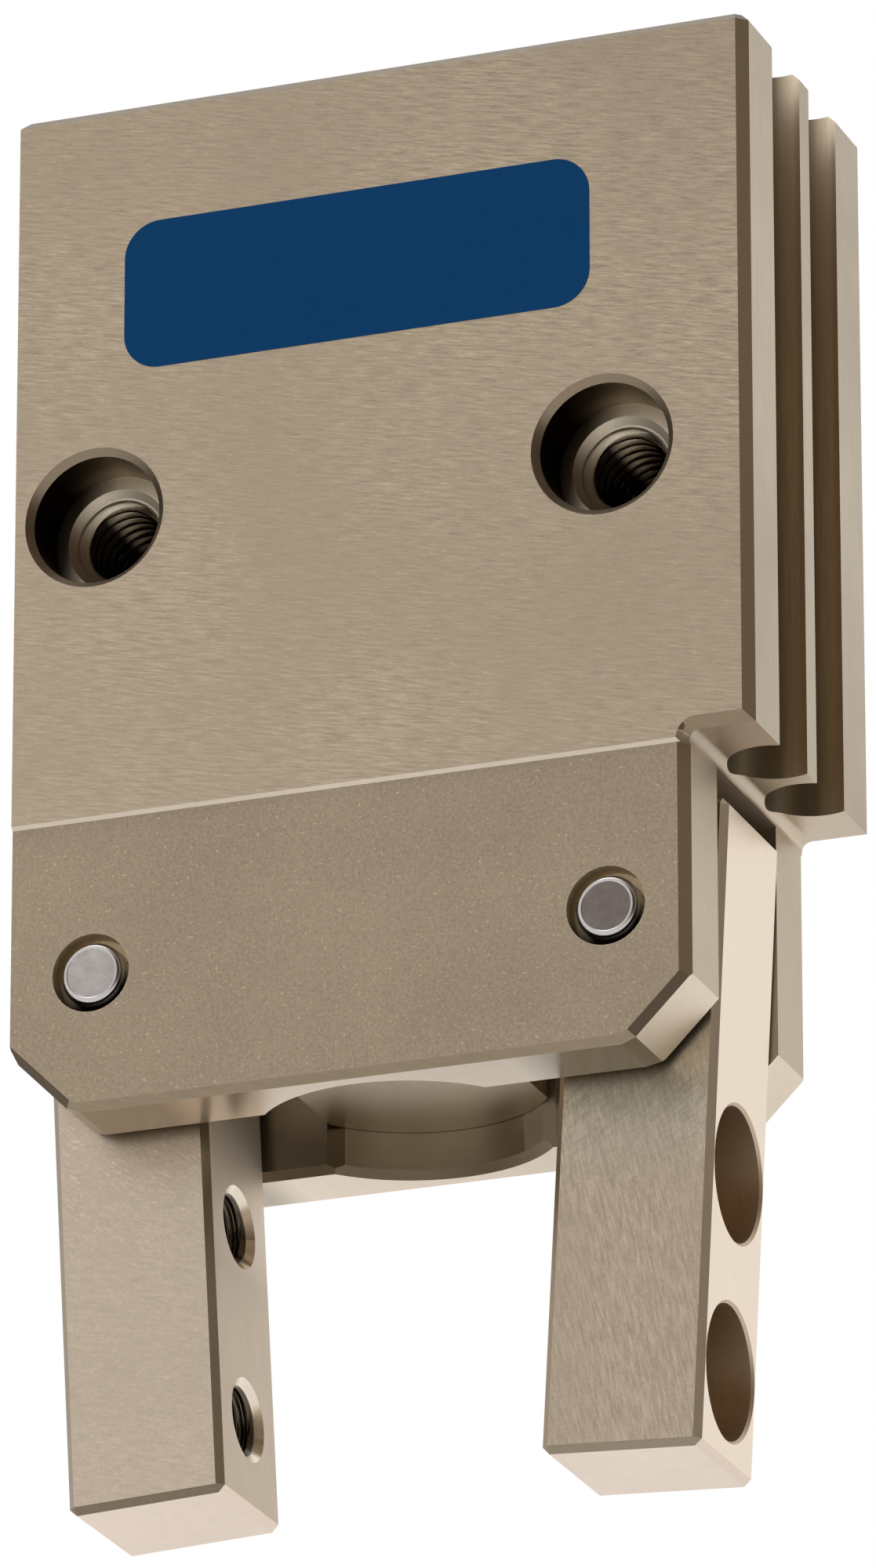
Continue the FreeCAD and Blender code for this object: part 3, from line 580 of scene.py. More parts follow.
@dataclass(frozen=True)
class FloorFinish:
    """A pale floor that looks white but keeps shadows."""

    name: str
    colour: Colour
    white: float
    roughness: float = 0.8
    scale: float = 40.0
    grain: float = 0.02

    def build(self, effects: Effects) -> Material:
        """Make the material.

        Args:
            effects: the shared effects.

        Returns:
            The new material.
        """
        surface = Surface(self.name, effects)
        colour = surface.toned(surface.grained(self.scale, self.grain), self.colour)
        matt = surface.add("ShaderNodeBsdfPrincipled", Base_Color=colour, Roughness=self.roughness)
        glow = surface.add("ShaderNodeEmission", Strength=1.0)
        path = surface.add("ShaderNodeLightPath")
        seen = surface.math("MAXIMUM", surface.seen(path), path.outputs["Is Glossy Ray"])
        share = surface.math("MULTIPLY", seen, self.white)
        surface.finish(surface.mix(share, matt.outputs[0], glow.outputs[0]))
        return surface.material


class Finish(Enum):
    """Every finish on the gripper and in the studio; many of them also paint light and shade, as noted at
    each.
    """

    # The fall paints a gradient of light on the brushed body: lighter to the left and lower down.
    BRUSHED = MetalFinish(
        "brushed_body", (0.53, 0.43, 0.317), 0.40, Lay.ACROSS, lines=0.60, grain=0.08,
        dashes=0.16, fall=(-2.0, 0.0, -3.0),
    )
    # The blasted cheeks carry a painted highlight along their edges.
    BLASTED = MetalFinish(
        "blasted_cheeks", (0.505, 0.41, 0.30), 0.55, lines=0.10, patches=0.16, grain=0.28,
        specks=0.40, edge_highlight=0.15,
    )
    SIDE = MetalFinish(
        "blasted_side", (0.55, 0.46, 0.34), 0.45, lines=0.06, patches=0.08, grain=0.20, specks=0.2
    )
    # Painted light and shade on the underside: the fall makes it lighter to the left and towards the
    # back, and the drift paints shade over the fingers, darker beyond 7 mm to either side.
    UNDERSIDE = MetalFinish(
        "milled_underside", (0.75, 0.63, 0.50), 0.24, Lay.THROUGH, lines=0.08, patches=0.06,
        fall=(-12.0, 12.0, 0.0),
        drift=Drift((0.41, 0.35, 0.265), (1.0, 0.0, 0.0), (7.0, 8.6), Origin.MIDDLE),
    )
    # Painted light: the corner faces that look down are far lighter than the body metal.
    CORNER = MetalFinish("milled_corner", (0.88, 0.77, 0.63), 0.50, lines=0.10)
    # Painted light: the slot is lighter than the body metal to lift the shade on its ceiling.
    SLOT = MetalFinish("milled_slot", (0.60, 0.51, 0.42), 0.60, Lay.THROUGH, lines=0.08, patches=0.06)
    STRIP = MetalFinish("drawn_strip", (0.47, 0.39, 0.29), 0.40, Lay.UPRIGHT, lines=0.14, patches=0.18)
    STRIP_END = MetalFinish(
        "strip_end", (0.49, 0.41, 0.32), 0.42,
        drift=Drift((0.68, 0.57, 0.44), (0.0, 1.0, 0.0), (-14.0, -3.0)),
    )
    # Painted shade: the chamfers are one metal in several tones. Upright ones facing right keep about the
    # body's colour; those facing left, those facing up, the rims and the hole rims are darker copies, and
    # the front rim also has a painted highlight along its edges.
    EDGE = MetalFinish("upright_chamfer", (0.56, 0.445, 0.315), 0.36, lines=0.10)
    SHADED_EDGE = MetalFinish("shaded_chamfer", (0.24, 0.19, 0.135), 0.36, lines=0.14)
    TOP_EDGE = MetalFinish("top_chamfer", (0.18, 0.147, 0.11), 0.40, Lay.ACROSS, lines=0.10)
    RIM = MetalFinish("milled_rim", (0.33, 0.262, 0.18), 0.36, Lay.ACROSS, lines=0.20, edge_highlight=0.25)
    CORNER_RIM = MetalFinish("corner_rim", (0.12, 0.09, 0.06), 0.36)
    STRIP_RIM = MetalFinish("strip_rim", (0.32, 0.25, 0.17), 0.36, Lay.ACROSS, lines=0.20)
    HOLE_RIM = MetalFinish("hole_rim", (0.30, 0.235, 0.165), 0.36)
    # Painted highlight: a light band along the line between the brushed and blasted finishes.
    FINISH_LINE_HIGHLIGHT = MetalFinish("finish_line_highlight", (0.74, 0.64, 0.52), 0.35, Lay.ACROSS, lines=0.10)
    # Painted shade and light: the sensor grooves are dark inside and turn much lighter beyond 17.6 mm
    # across.
    GROOVE = MetalFinish(
        "sensor_groove", (0.26, 0.205, 0.135), 0.46, Lay.UPRIGHT, lines=0.24,
        drift=Drift((0.92, 0.77, 0.58), (1.0, 0.0, 0.0), (16.6, 17.6)),
    )
    # Painted shade and light: the counterbore wall is near black, lightening towards its right and lower
    # side.
    WALL = MetalFinish(
        "counterbore_wall", (0.02, 0.016, 0.012), 0.34, lines=0.14, glance=0.5,
        drift=Drift((0.44, 0.36, 0.265), (0.95, 0.0, -0.3), (-2.5, -0.3), Origin.HOLE),
    )
    # Painted shade and light: the counterbore floor is dark, lightening towards its right and lower side,
    # with a painted highlight along its edges.
    SHELF = MetalFinish(
        "counterbore_floor", (0.14, 0.10, 0.065), 0.46, lines=0.14, edge_highlight=0.4,
        drift=Drift((0.76, 0.66, 0.53), (1.0, 0.0, -0.3), (-2.3, -0.8), Origin.HOLE), glance=0.5,
    )
    # Painted highlight: the cone at the thread's mouth lightens to near white towards its right and upper
    # side.
    CONE = MetalFinish(
        "hole_cone", (0.30, 0.245, 0.18), 0.52, patches=0.08,
        drift=Drift((1.0, 0.90, 0.74), (0.8, 0.0, 0.6), (-1.6, 0.6), Origin.HOLE),
    )
    # Painted shade and light: the mounting thread is near black, lightening towards its right and upper
    # side.
    THREAD = MetalFinish(
        "screw_thread", (0.01, 0.008, 0.006), 0.24, Lay.THROUGH, lines=0.10, patches=0.08, glance=0.6,
        drift=Drift((0.55, 0.46, 0.34), (1.0, 0.0, 0.3), (-0.7, 0.9), Origin.HOLE),
    )
    # Painted shade: the air ports and their threads are darker than the body metal.
    HOLE = MetalFinish("screw_hole", (0.21, 0.172, 0.125), 0.24, Lay.THROUGH, lines=0.10, patches=0.08)
    # Painted light and shade: the pin recesses are light, going near black towards their bottom.
    RECESS = MetalFinish(
        "pin_recess", (0.88, 0.75, 0.55), 0.60, lines=0.14, glance=0.65,
        drift=Drift((0.03, 0.02, 0.01), (0.2, 0.0, -1.0), (20.2, 21.4), Origin.HOLE),
    )
    PAD_HOLE = MetalFinish("pad_hole", (0.66, 0.53, 0.385), 0.48, Lay.UPRIGHT, lines=0.16, patches=0.08)
    # Painted shade: the pad threads are dark.
    PAD_THREAD = MetalFinish("pad_thread", (0.12, 0.10, 0.075), 0.22, patches=0.08)
    # Painted highlight: near white, on the mouths of the pad holes and on the counterbore walls that face
    # up.
    MOUTH = MetalFinish("hole_mouth", (0.86, 0.76, 0.63), 0.24, patches=0.08)
    BORE = MetalFinish("bore_wall", (0.445, 0.385, 0.31), 0.34, Lay.ACROSS)
    # Painted shade: the bore's rim chamfer and the facets at its left are dark.
    BORE_RIM = MetalFinish("bore_rim", (0.16, 0.123, 0.08), 0.36, Lay.ACROSS)
    LEFT_FRONT = MetalFinish(
        "left_finger_front", (0.69, 0.578, 0.46), 0.42, Lay.SCRATCHED, lines=0.18, patches=0.08,
        grain=0.12, dashes=0.08, second=Marks(Lay.SCORED, lines=0.16, dashes=0.25, top=-27.5, reach=6.0),
    )
    # Painted light: the right finger's front turns lighter and greyer towards its top, under the cheek.
    RIGHT_FRONT = MetalFinish(
        "right_finger_front", (0.585, 0.48, 0.37), 0.42, Lay.SLANTED, lines=0.50, patches=0.08,
        grain=0.14, second=Marks(Lay.HATCHED, lines=0.40, dashes=0.10, top=-27.0, reach=6.0),
        drift=Drift((0.62, 0.55, 0.445), (0.0, 0.0, 1.0), (-31.0, -27.5)),
    )
    FINGER_SIDE = MetalFinish(
        "finger_side", (0.81, 0.68, 0.54), 0.28, Lay.UPRIGHT, lines=0.06, patches=0.06
    )
    # Painted light: the inner faces of the fingers are lighter towards the top, under the body.
    FINGER_INNER = MetalFinish(
        "finger_inner", (0.68, 0.575, 0.46), 0.58, Lay.UPRIGHT, lines=0.10,
        drift=Drift((0.95, 0.86, 0.74), (0.0, 0.0, 1.0), (-32.0, -28.0)),
    )
    FINGER_END = MetalFinish("finger_end", (0.83, 0.69, 0.57), 0.30, Lay.ACROSS, lines=0.08, patches=0.08)
    # Painted light and shade: the fingers' chamfers are one metal in tones chosen by side and direction,
    # lightest facing right and darkest facing down; the left finger's one facing right darkens towards
    # the top.
    FINGER_RIM = MetalFinish("finger_rim", (0.84, 0.72, 0.58), 0.42, Lay.UPRIGHT, lines=0.16)
    FINGER_EDGE = MetalFinish("finger_edge", (0.34, 0.28, 0.21), 0.36)
    LEFT_EDGE = MetalFinish(
        "left_finger_edge", (0.66, 0.59, 0.465), 0.36,
        drift=Drift((0.375, 0.325, 0.24), (0.0, 0.0, 1.0), (-34.0, -29.0)),
    )
    CROSSHEAD = MetalFinish("crosshead_face", (0.42, 0.34, 0.24), 0.34, Lay.ACROSS, lines=0.14)
    LEFT_PIN = TurnedFinish("left_pin_end", (0.52, 0.47, 0.455), 0.32, -PIVOT_X)
    # Painted shade: the right pin's ends are a darker copy of the left pin's.
    RIGHT_PIN = TurnedFinish("right_pin_end", (0.22, 0.185, 0.17), 0.32, PIVOT_X)
    # Painted highlight: the rounded rims at the pins' ends are much lighter than the pins' steel.
    PIN_RIM = MetalFinish("pin_rim", (0.66, 0.63, 0.615), 0.28, lines=0.10, patches=0.08)
    STEEL = MetalFinish("ground_steel", (0.36, 0.34, 0.33), 0.26, Lay.THROUGH, lines=0.10, patches=0.06)
    PISTON = MetalFinish("turned_piston", (0.62, 0.62, 0.64), 0.30, Lay.ACROSS, lines=0.08, patches=0.04)
    ROD = MetalFinish("chromed_rod", (0.72, 0.72, 0.74), 0.14, Lay.ACROSS, lines=0.03, patches=0.02)
    SCREW = MetalFinish("blackened_steel", (0.10, 0.10, 0.11), 0.38, Lay.ACROSS, lines=0.10, patches=0.08)
    BUSH = MetalFinish("sintered_bush", (0.52, 0.34, 0.16), 0.45, lines=0.10, patches=0.08, grain=0.15)
    RUBBER = SoftFinish("seal_rubber", (0.02, 0.02, 0.02), 0.6)
    MAGNET = SoftFinish("magnet_plastic", (0.05, 0.05, 0.055), 0.5)
    STICKER = SoftFinish("blank_sticker", (0.004, 0.08, 0.25), 0.45, shine=0.06, scale=9000.0, grain=0.12)
    FLOOR = FloorFinish("pale_floor", (0.80, 0.80, 0.79), white=0.8)


class Finishes:
    """All materials, made once from their recipes."""

    def __init__(self) -> None:
        """Build every material."""
        effects = Effects()
        self.made = {kind: kind.value.build(effects) for kind in Finish}

    def __getitem__(self, kind: Finish) -> Material:
        """The material of a finish."""
        return self.made[kind]


@dataclass
class Assembly:
    """A sub-assembly whose solids are dressed from the common stock of materials."""

    finishes: Finishes

    def dress(self, node: str, choose: Callable[[Vector, Vector], Finish]) -> None:
        """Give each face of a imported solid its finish.

        Args:
            node: name of the solid.
            choose: takes a face's centre in millimetres and its normal, and gives its finish.
        """
        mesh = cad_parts[node].data
        mesh.materials.clear()
        order: list[Finish] = []
        for polygon in mesh.polygons:
            kind = choose(polygon.center / MM, polygon.normal)
            if kind not in order:
                order.append(kind)
                mesh.materials.append(self.finishes[kind])
            polygon.material_index = order.index(kind)
        LOG.info("dressed %s with %d finishes", node, len(order))

    def dress_plain(self, kind: Finish, nodes: Sequence[str]) -> None:
        """Give whole solids one finish."""
        for node in nodes:
            self.dress(node, lambda centre, normal: kind)


def add_piece(
    name: str,
    points: Sequence[Vector],
    faces: Sequence[Sequence[int]],
    material: Material,
    body: str = "",
) -> Object:
    """Make a mesh piece.

    Args:
        name: its name.
        points: corners in millimetres.
        faces: corner numbers of each face.
        material: its finish.
        body: the body that it moves with, if it is on the part.

    Returns:
        The new object.
    """
    mesh = bpy.data.meshes.new(name)
    mesh.from_pydata([point * MM for point in points], [], [tuple(face) for face in faces])
    mesh.materials.append(material)
    mesh.update()
    piece = bpy.data.objects.new(name, mesh)
    bpy.context.scene.collection.objects.link(piece)
    if body:
        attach(piece, body)
        LOG.info("piece %s on %s, %d faces", name, body, len(faces))
    return piece


def closed_grid(rows: int, columns: int) -> list[tuple[int, ...]]:
    """Faces of a grid of points that closes on itself both ways.

    Args:
        rows: how many rows of points there are.
        columns: how many points a row has.

    Returns:
        The corner numbers of each face.
    """
    faces: list[tuple[int, ...]] = []
    for row in range(rows):
        near, far = row * columns, (row + 1) % rows * columns
        for column in range(columns):
            after = (column + 1) % columns
            faces.append((near + column, near + after, far + after, far + column))
    return faces


@dataclass(frozen=True)
class ThreadSize:
    """Length, outer radius and pitch of a thread, and the length of its bright cone."""

    length: float
    major: float
    pitch: float
    cone: float = 0.0


@dataclass(frozen=True)
class Thread:
    """An inside thread: a thin sleeve in a plain hole, wound inside, with a cone at each end."""

    name: str
    start: Vector
    axis: Vector
    size: ThreadSize
    steps: int = 36
    rows_per_turn: int = 8
    inset: float = 0.01
    overlap: float = 0.03
    height: float = 0.54
    slope: float = 1.3
    root: float = 0.15

    def radius(self, along: float, turn: float) -> float:
        """Inner radius of the sleeve.

        Args:
            along: distance from the start of the hole.
            turn: share of a whole turn about the hole.

        Returns:
            The radius there.
        """
        size = self.size
        wave = abs(2.0 * ((along / size.pitch - turn) % 1.0) - 1.0)
        ridge = min(max(self.slope * wave - self.root, 0.0), 1.0)
        outer = size.major - self.inset
        return max(outer - self.height * size.pitch * ridge, outer - min(along, size.length - along))

    def points(self, rows: int) -> list[Vector]:
        """Corners of the sleeve.

        Args:
            rows: how many rows of faces the wound side has.

        Returns:
            The wound side row by row, then the plain outer side.
        """
        along = self.axis.normalized()
        across = along.orthogonal().normalized()
        other = along.cross(across)
        rays = []
        for step in range(self.steps):
            angle = 2.0 * math.pi * step / self.steps
            rays.append(across * math.cos(angle) + other * math.sin(angle))
        points: list[Vector] = []
        for row in range(rows + 1):
            rise = self.size.length * row / rows
            for step, ray in enumerate(rays):
                points.append(self.start + along * rise + ray * self.radius(rise, step / self.steps))
        for rise in (self.size.length, 0.0):
            points += [self.start + along * rise + ray * (self.size.major + self.overlap) for ray in rays]
        return points

    def build(self, finishes: Finishes, kind: Finish, body: str, slot: str) -> None:
        """Wind the sleeve.

        Args:
            finishes: all materials.
            kind: its finish.
            body: the body that it moves with.
            slot: the record's material slot; not used.
        """
        rows = round(self.size.length / self.size.pitch * self.rows_per_turn)
        points = self.points(rows)
        faces = closed_grid(len(points) // self.steps, self.steps)
        piece = add_piece(self.name, points, faces, finishes[kind], body)
        # The first rows take the cone finish, a painted highlight.
        if self.size.cone:
            piece.data.materials.append(finishes[Finish.CONE])
            bright = math.ceil(self.size.cone / self.size.length * rows) * self.steps
            for face in piece.data.polygons[:bright]:
                face.material_index = 1
        piece.data.shade_smooth()


@dataclass(frozen=True)
class PinRim:
    """The rounded rim of a pin's end, which carries a painted highlight."""

    name: str
    across: float
    face: float
    outward: int
    inner: float = 1.12
    round: float = 0.2
    overlap: float = 0.05
    lift: float = 0.005
    steps: int = 48
    round_steps: int = 6

    def profile(self) -> list[Pair]:
        """Outline of the rim along a quarter round, and back behind it.

        Returns:
            Radius and depth below the pin's end at each point.
        """
        start = self.inner - self.overlap
        points = [(start, self.overlap), (start, -self.lift)]
        for step in range(self.round_steps + 1):
            angle = math.radians(90.0 / self.round_steps * step)
            reach = self.inner + self.round * math.sin(angle)
            points.append((reach, self.round * (1.0 - math.cos(angle)) - self.lift))
        return points

    def build(self, finishes: Finishes) -> None:
        """Turn the rim.

        Args:
            finishes: all materials.
        """
        profile = self.profile()
        points = []
        for step in range(self.steps):
            angle = 2.0 * math.pi * step / self.steps
            for reach, depth in profile:
                across = self.across + reach * math.cos(angle)
                up = PIVOT_Z + reach * math.sin(angle)
                points.append(Vector((across, self.face - self.outward * depth, up)))
        faces = closed_grid(self.steps, len(profile))
        piece = add_piece(self.name, points, faces, finishes[Finish.PIN_RIM], "body")
        piece.data.shade_smooth()


@dataclass(frozen=True)
class Sticker:
    """A blank sticker with round corners on the brushed front."""

    centre: Pair = (0.4, 9.85)
    size: Pair = (21.0, 6.75)
    corner: float = 1.6
    corner_steps: int = 12
    thickness: float = 0.03
    front: float = 2.0 * AXIS_Y

    def outline(self) -> list[Pair]:
        """Outline of the sticker.

        Returns:
            Its points, across and up.
        """
        half_x, half_z = (size / 2.0 - self.corner for size in self.size)
        points = []
        for quarter, (side_x, side_z) in enumerate(((1, 1), (-1, 1), (-1, -1), (1, -1))):
            for step in range(self.corner_steps + 1):
                angle = math.radians(90.0 * quarter + 90.0 / self.corner_steps * step)
                across = self.centre[0] + side_x * half_x + self.corner * math.cos(angle)
                up = self.centre[1] + side_z * half_z + self.corner * math.sin(angle)
                points.append((across, up))
        return points

    def build(self, finishes: Finishes) -> None:
        """Lay the sticker.

        Args:
            finishes: all materials.
        """
        outline = self.outline()
        count = len(outline)
        points = [Vector((x, self.front - self.thickness, z)) for x, z in outline]
        points += [Vector((x, self.front + self.thickness, z)) for x, z in outline]
        faces: list[tuple[int, ...]] = [tuple(range(count))]
        for index in range(count):
            after = (index + 1) % count
            faces.append((index, count + index, count + after, after))
        add_piece("blank_sticker", points, faces, finishes[Finish.STICKER], "body")


@dataclass
class Body(Assembly):
    """The housing and what stays with it.

    A reach is the radius within which a face belongs to a hole; a level or a side is a limit on Z or X.
    """

    half_depth: float = 7.5
    setback: float = 0.15
    slack: float = 0.01
    finish_level: float = -13.5
    line_width: float = 0.2
    top_level: float = 18.0
    corner_level: float = -18.5
    rim_lean: float = 0.4
    strip_start: float = 14.9
    strip_side: float = 16.5
    groove_centre: Pair = (17.04, 2.35)
    groove_reach: float = 2.0
    bore_reach: float = 6.65
    slot_half: float = 4.1
    facet_side: float = -4.5
    wall_side: float = 3.0
    hole_reach: float = 3.3
    hole_rim: float = 0.31
    mouth_lean: float = 0.8
    recess_reach: float = 1.9
    recess_depth: float = 3.8
    ports: Pair = (11.16, -5.916)
    port_reach: float = 2.9
    port_side: float = -9.0
    pin_half: float = 7.3
    mounting_sink: float = 3.05
    mounting_thread: ThreadSize = ThreadSize(11.65, 2.0, 0.7, cone=0.4)
    port_start: float = -14.7
    port_thread: ThreadSize = ThreadSize(4.7, 2.5, 0.8)
    sticker: Sticker = Sticker()
    plain: tuple[tuple[Finish, tuple[str, ...]], ...] = (
        (Finish.PISTON, ("end_cap",)),
        (Finish.SCREW, ("retaining_ring",)),
        (Finish.BUSH, ("rod_bush",)),
        (Finish.RUBBER, ("end_cap_ring", "rod_seal", "upper_bumper", "lower_bumper")),
    )

    def zone(self, centre: Vector, normal: Vector) -> Finish:
        """Finish of a face of the housing.

        Args:
            centre: the face's centre in millimetres.
            normal: the face's direction.

        Returns:
            Its finish.
        """
        depth = abs(centre.y - AXIS_Y)
        lower = centre.z < self.finish_level + self.slack
        if abs(normal.y) > SQUARE and abs(depth - self.half_depth) < self.slack:
            return Finish.BRUSHED
        if abs(normal.y) > SQUARE and abs(depth - self.half_depth + self.setback) < self.slack:
            return Finish.BLASTED
        # Faces just below the line between finishes take the light band: a painted highlight.
        if abs(normal.y) > LEANING and lower and centre.z > self.finish_level - self.line_width:
            return Finish.FINISH_LINE_HIGHLIGHT
        if self.in_hole(centre):
            return self.hole_zone(centre, normal)
        if self.in_groove(centre) and abs(normal.z) < SLIGHT:
            return Finish.GROOVE
        if math.hypot(centre.x, depth) < self.bore_reach or (lower and depth < self.slot_half):
            return self.bore_zone(centre, normal)
        if normal.z > SQUARE and centre.z > self.top_level:
            return Finish.BRUSHED
        if normal.z < -SLIGHT:
            return self.lower_zone(centre, normal)
        if normal.z > LEANING:
            return Finish.TOP_EDGE
        if abs(normal.y) > LEANING:
            # Chamfers at the line take the light band too: a painted highlight.
            if abs(centre.z - self.finish_level) < self.line_width:
                return Finish.FINISH_LINE_HIGHLIGHT
            # Chamfers facing left take the darker copy: painted shade.
            return Finish.EDGE if normal.x > 0.0 else Finish.SHADED_EDGE
        if centre.x > self.strip_side:
            return Finish.STRIP
        return Finish.SIDE if lower else Finish.BRUSHED

    def hole_zone(self, centre: Vector, normal: Vector) -> Finish:
        """Finish of a face in a hole: a recess, a port, or a counterbore's rim, wall, floor or cone.

        Args:
            centre: the face's centre in millimetres.
            normal: the face's direction.

        Returns:
            Its finish.
        """
        depth = abs(centre.y - AXIS_Y)
        # Each finish chosen below paints shade and light into the hole.
        if centre.z < self.finish_level:
            return Finish.RECESS
        if depth < self.port_reach < abs(centre.z):
            return Finish.HOLE
        if depth > self.half_depth - self.hole_rim:
            return Finish.HOLE_RIM
        # Walls: faces that look up take the near-white mouth finish, the rest the near-black wall finish.
        if abs(normal.y) < SLIGHT:
            return Finish.MOUTH if normal.z > self.mouth_lean else Finish.WALL
        return Finish.SHELF if abs(normal.y) > NEARLY else Finish.CONE

    def bore_zone(self, centre: Vector, normal: Vector) -> Finish:
        """Finish of a face in the bore or in the jaws' slot.

        Args:
            centre: the face's centre in millimetres.
            normal: the face's direction.

        Returns:
            Its finish.
        """
        # The rim chamfer and the facets at the left take the dark rim finish: painted shade.
        if -NEARLY < normal.z < -LEANING:
            return Finish.BORE_RIM
        if centre.x < self.facet_side and SLIGHT < normal.x < LEANING:
            return Finish.BORE_RIM
        # The ceiling and the right-hand walls take the lighter slot finish: painted light.
        if normal.z < -NEARLY or (centre.x > self.wall_side and normal.x < -SLIGHT):
            return Finish.SLOT
        return Finish.BORE

    def lower_zone(self, centre: Vector, normal: Vector) -> Finish:
        """Finish of a face that looks downwards.

        Args:
            centre: the face's centre in millimetres.
            normal: the face's direction.

        Returns:
            Its finish.
        """
        on_strip = centre.x > self.strip_start
        # Rims take dark chamfer copies: painted shade.
        if abs(normal.y) > self.rim_lean:
            if on_strip:
                return Finish.STRIP_RIM
            return Finish.CORNER_RIM if abs(normal.x) > SLIGHT else Finish.RIM
        # Corner faces that look down take the light corner finish: painted light.
        if abs(normal.x) > LEANING and centre.z < self.corner_level:
            return Finish.CORNER
        return Finish.STRIP_END if on_strip else Finish.UNDERSIDE

    def in_hole(self, centre: Vector) -> bool:
        """Whether a face lies inside a mounting hole, a pin recess or an air port.

        Args:
            centre: the face's centre in millimetres.

        Returns:
            True if it does.
        """
        depth = abs(centre.y - AXIS_Y)
        aside = abs(centre.x) - PIVOT_X
        if math.hypot(aside, centre.z) < self.hole_reach:
            return True
        if math.hypot(aside, centre.z - PIVOT_Z) < self.recess_reach and depth > self.recess_depth:
            return True
        from_port = min(math.hypot(depth, centre.z - level) for level in self.ports)
        return centre.x < self.port_side and from_port < self.port_reach

    def in_groove(self, centre: Vector) -> bool:
        """Whether a face lies inside a sensor groove.

        Args:
            centre: the face's centre in millimetres.

        Returns:
            True if it does.
        """
        depth = abs(centre.y - AXIS_Y)
        reach = math.hypot(centre.x - self.groove_centre[0], depth - self.groove_centre[1])
        return centre.x > self.strip_start and reach < self.groove_reach

    def threads(self) -> None:
        """Wind the threads of the mounting holes and the air ports."""
        for hand, side in HANDS:
            start = Vector((side * PIVOT_X, AXIS_Y - self.half_depth + self.mounting_sink, 0.0))
            thread = Thread(f"{hand}_mounting_thread", start, Vector((0, 1, 0)), self.mounting_thread)
            thread.build(self.finishes, Finish.THREAD, "body", "body_metal")
        for name, level in zip(("upper", "lower"), self.ports):
            start = Vector((self.port_start, AXIS_Y, level))
            thread = Thread(f"{name}_port_thread", start, Vector((1, 0, 0)), self.port_thread)
            thread.build(self.finishes, Finish.HOLE, "body", "body_metal")

    def pin_rims(self) -> None:
        """Turn the rims at both ends of both pins."""
        for hand, side in HANDS:
            for word, outward in (("front", -1), ("back", 1)):
                face = AXIS_Y + outward * self.pin_half
                PinRim(f"{hand}_{word}_pin_rim", side * PIVOT_X, face, outward).build(self.finishes)

    def build(self) -> None:
        """Dress the housing and the pieces in it."""
        self.dress("housing", self.zone)
        self.dress("left_pivot_pin", pin_zone(Finish.LEFT_PIN))
        self.dress("right_pivot_pin", pin_zone(Finish.RIGHT_PIN))
        for kind, nodes in self.plain:
            self.dress_plain(kind, nodes)
        self.threads()
        self.pin_rims()
        self.sticker.build(self.finishes)


def pin_zone(end: Finish) -> Callable[[Vector, Vector], Finish]:
    """The way to choose the finishes of a pivot pin, given that of its ends."""
    return lambda centre, normal: end if abs(normal.y) > SQUARE else Finish.STEEL


@dataclass
class Piston(Assembly):
    """The piston, its rod and the crosshead."""

    plain: tuple[tuple[Finish, tuple[str, ...]], ...] = (
        (Finish.CROSSHEAD, ("crosshead",)),
        (Finish.STEEL, ("left_drive_pin", "right_drive_pin")),
        (Finish.PISTON, ("piston_head", "piston_cap")),
        (Finish.ROD, ("piston_rod",)),
        (Finish.SCREW, ("piston_screw",)),
        (Finish.RUBBER, ("piston_seal",)),
        (Finish.MAGNET, ("piston_magnet",)),
    )

    def build(self) -> None:
        """Dress the sliding pieces."""
        for kind, nodes in self.plain:
            self.dress_plain(kind, nodes)


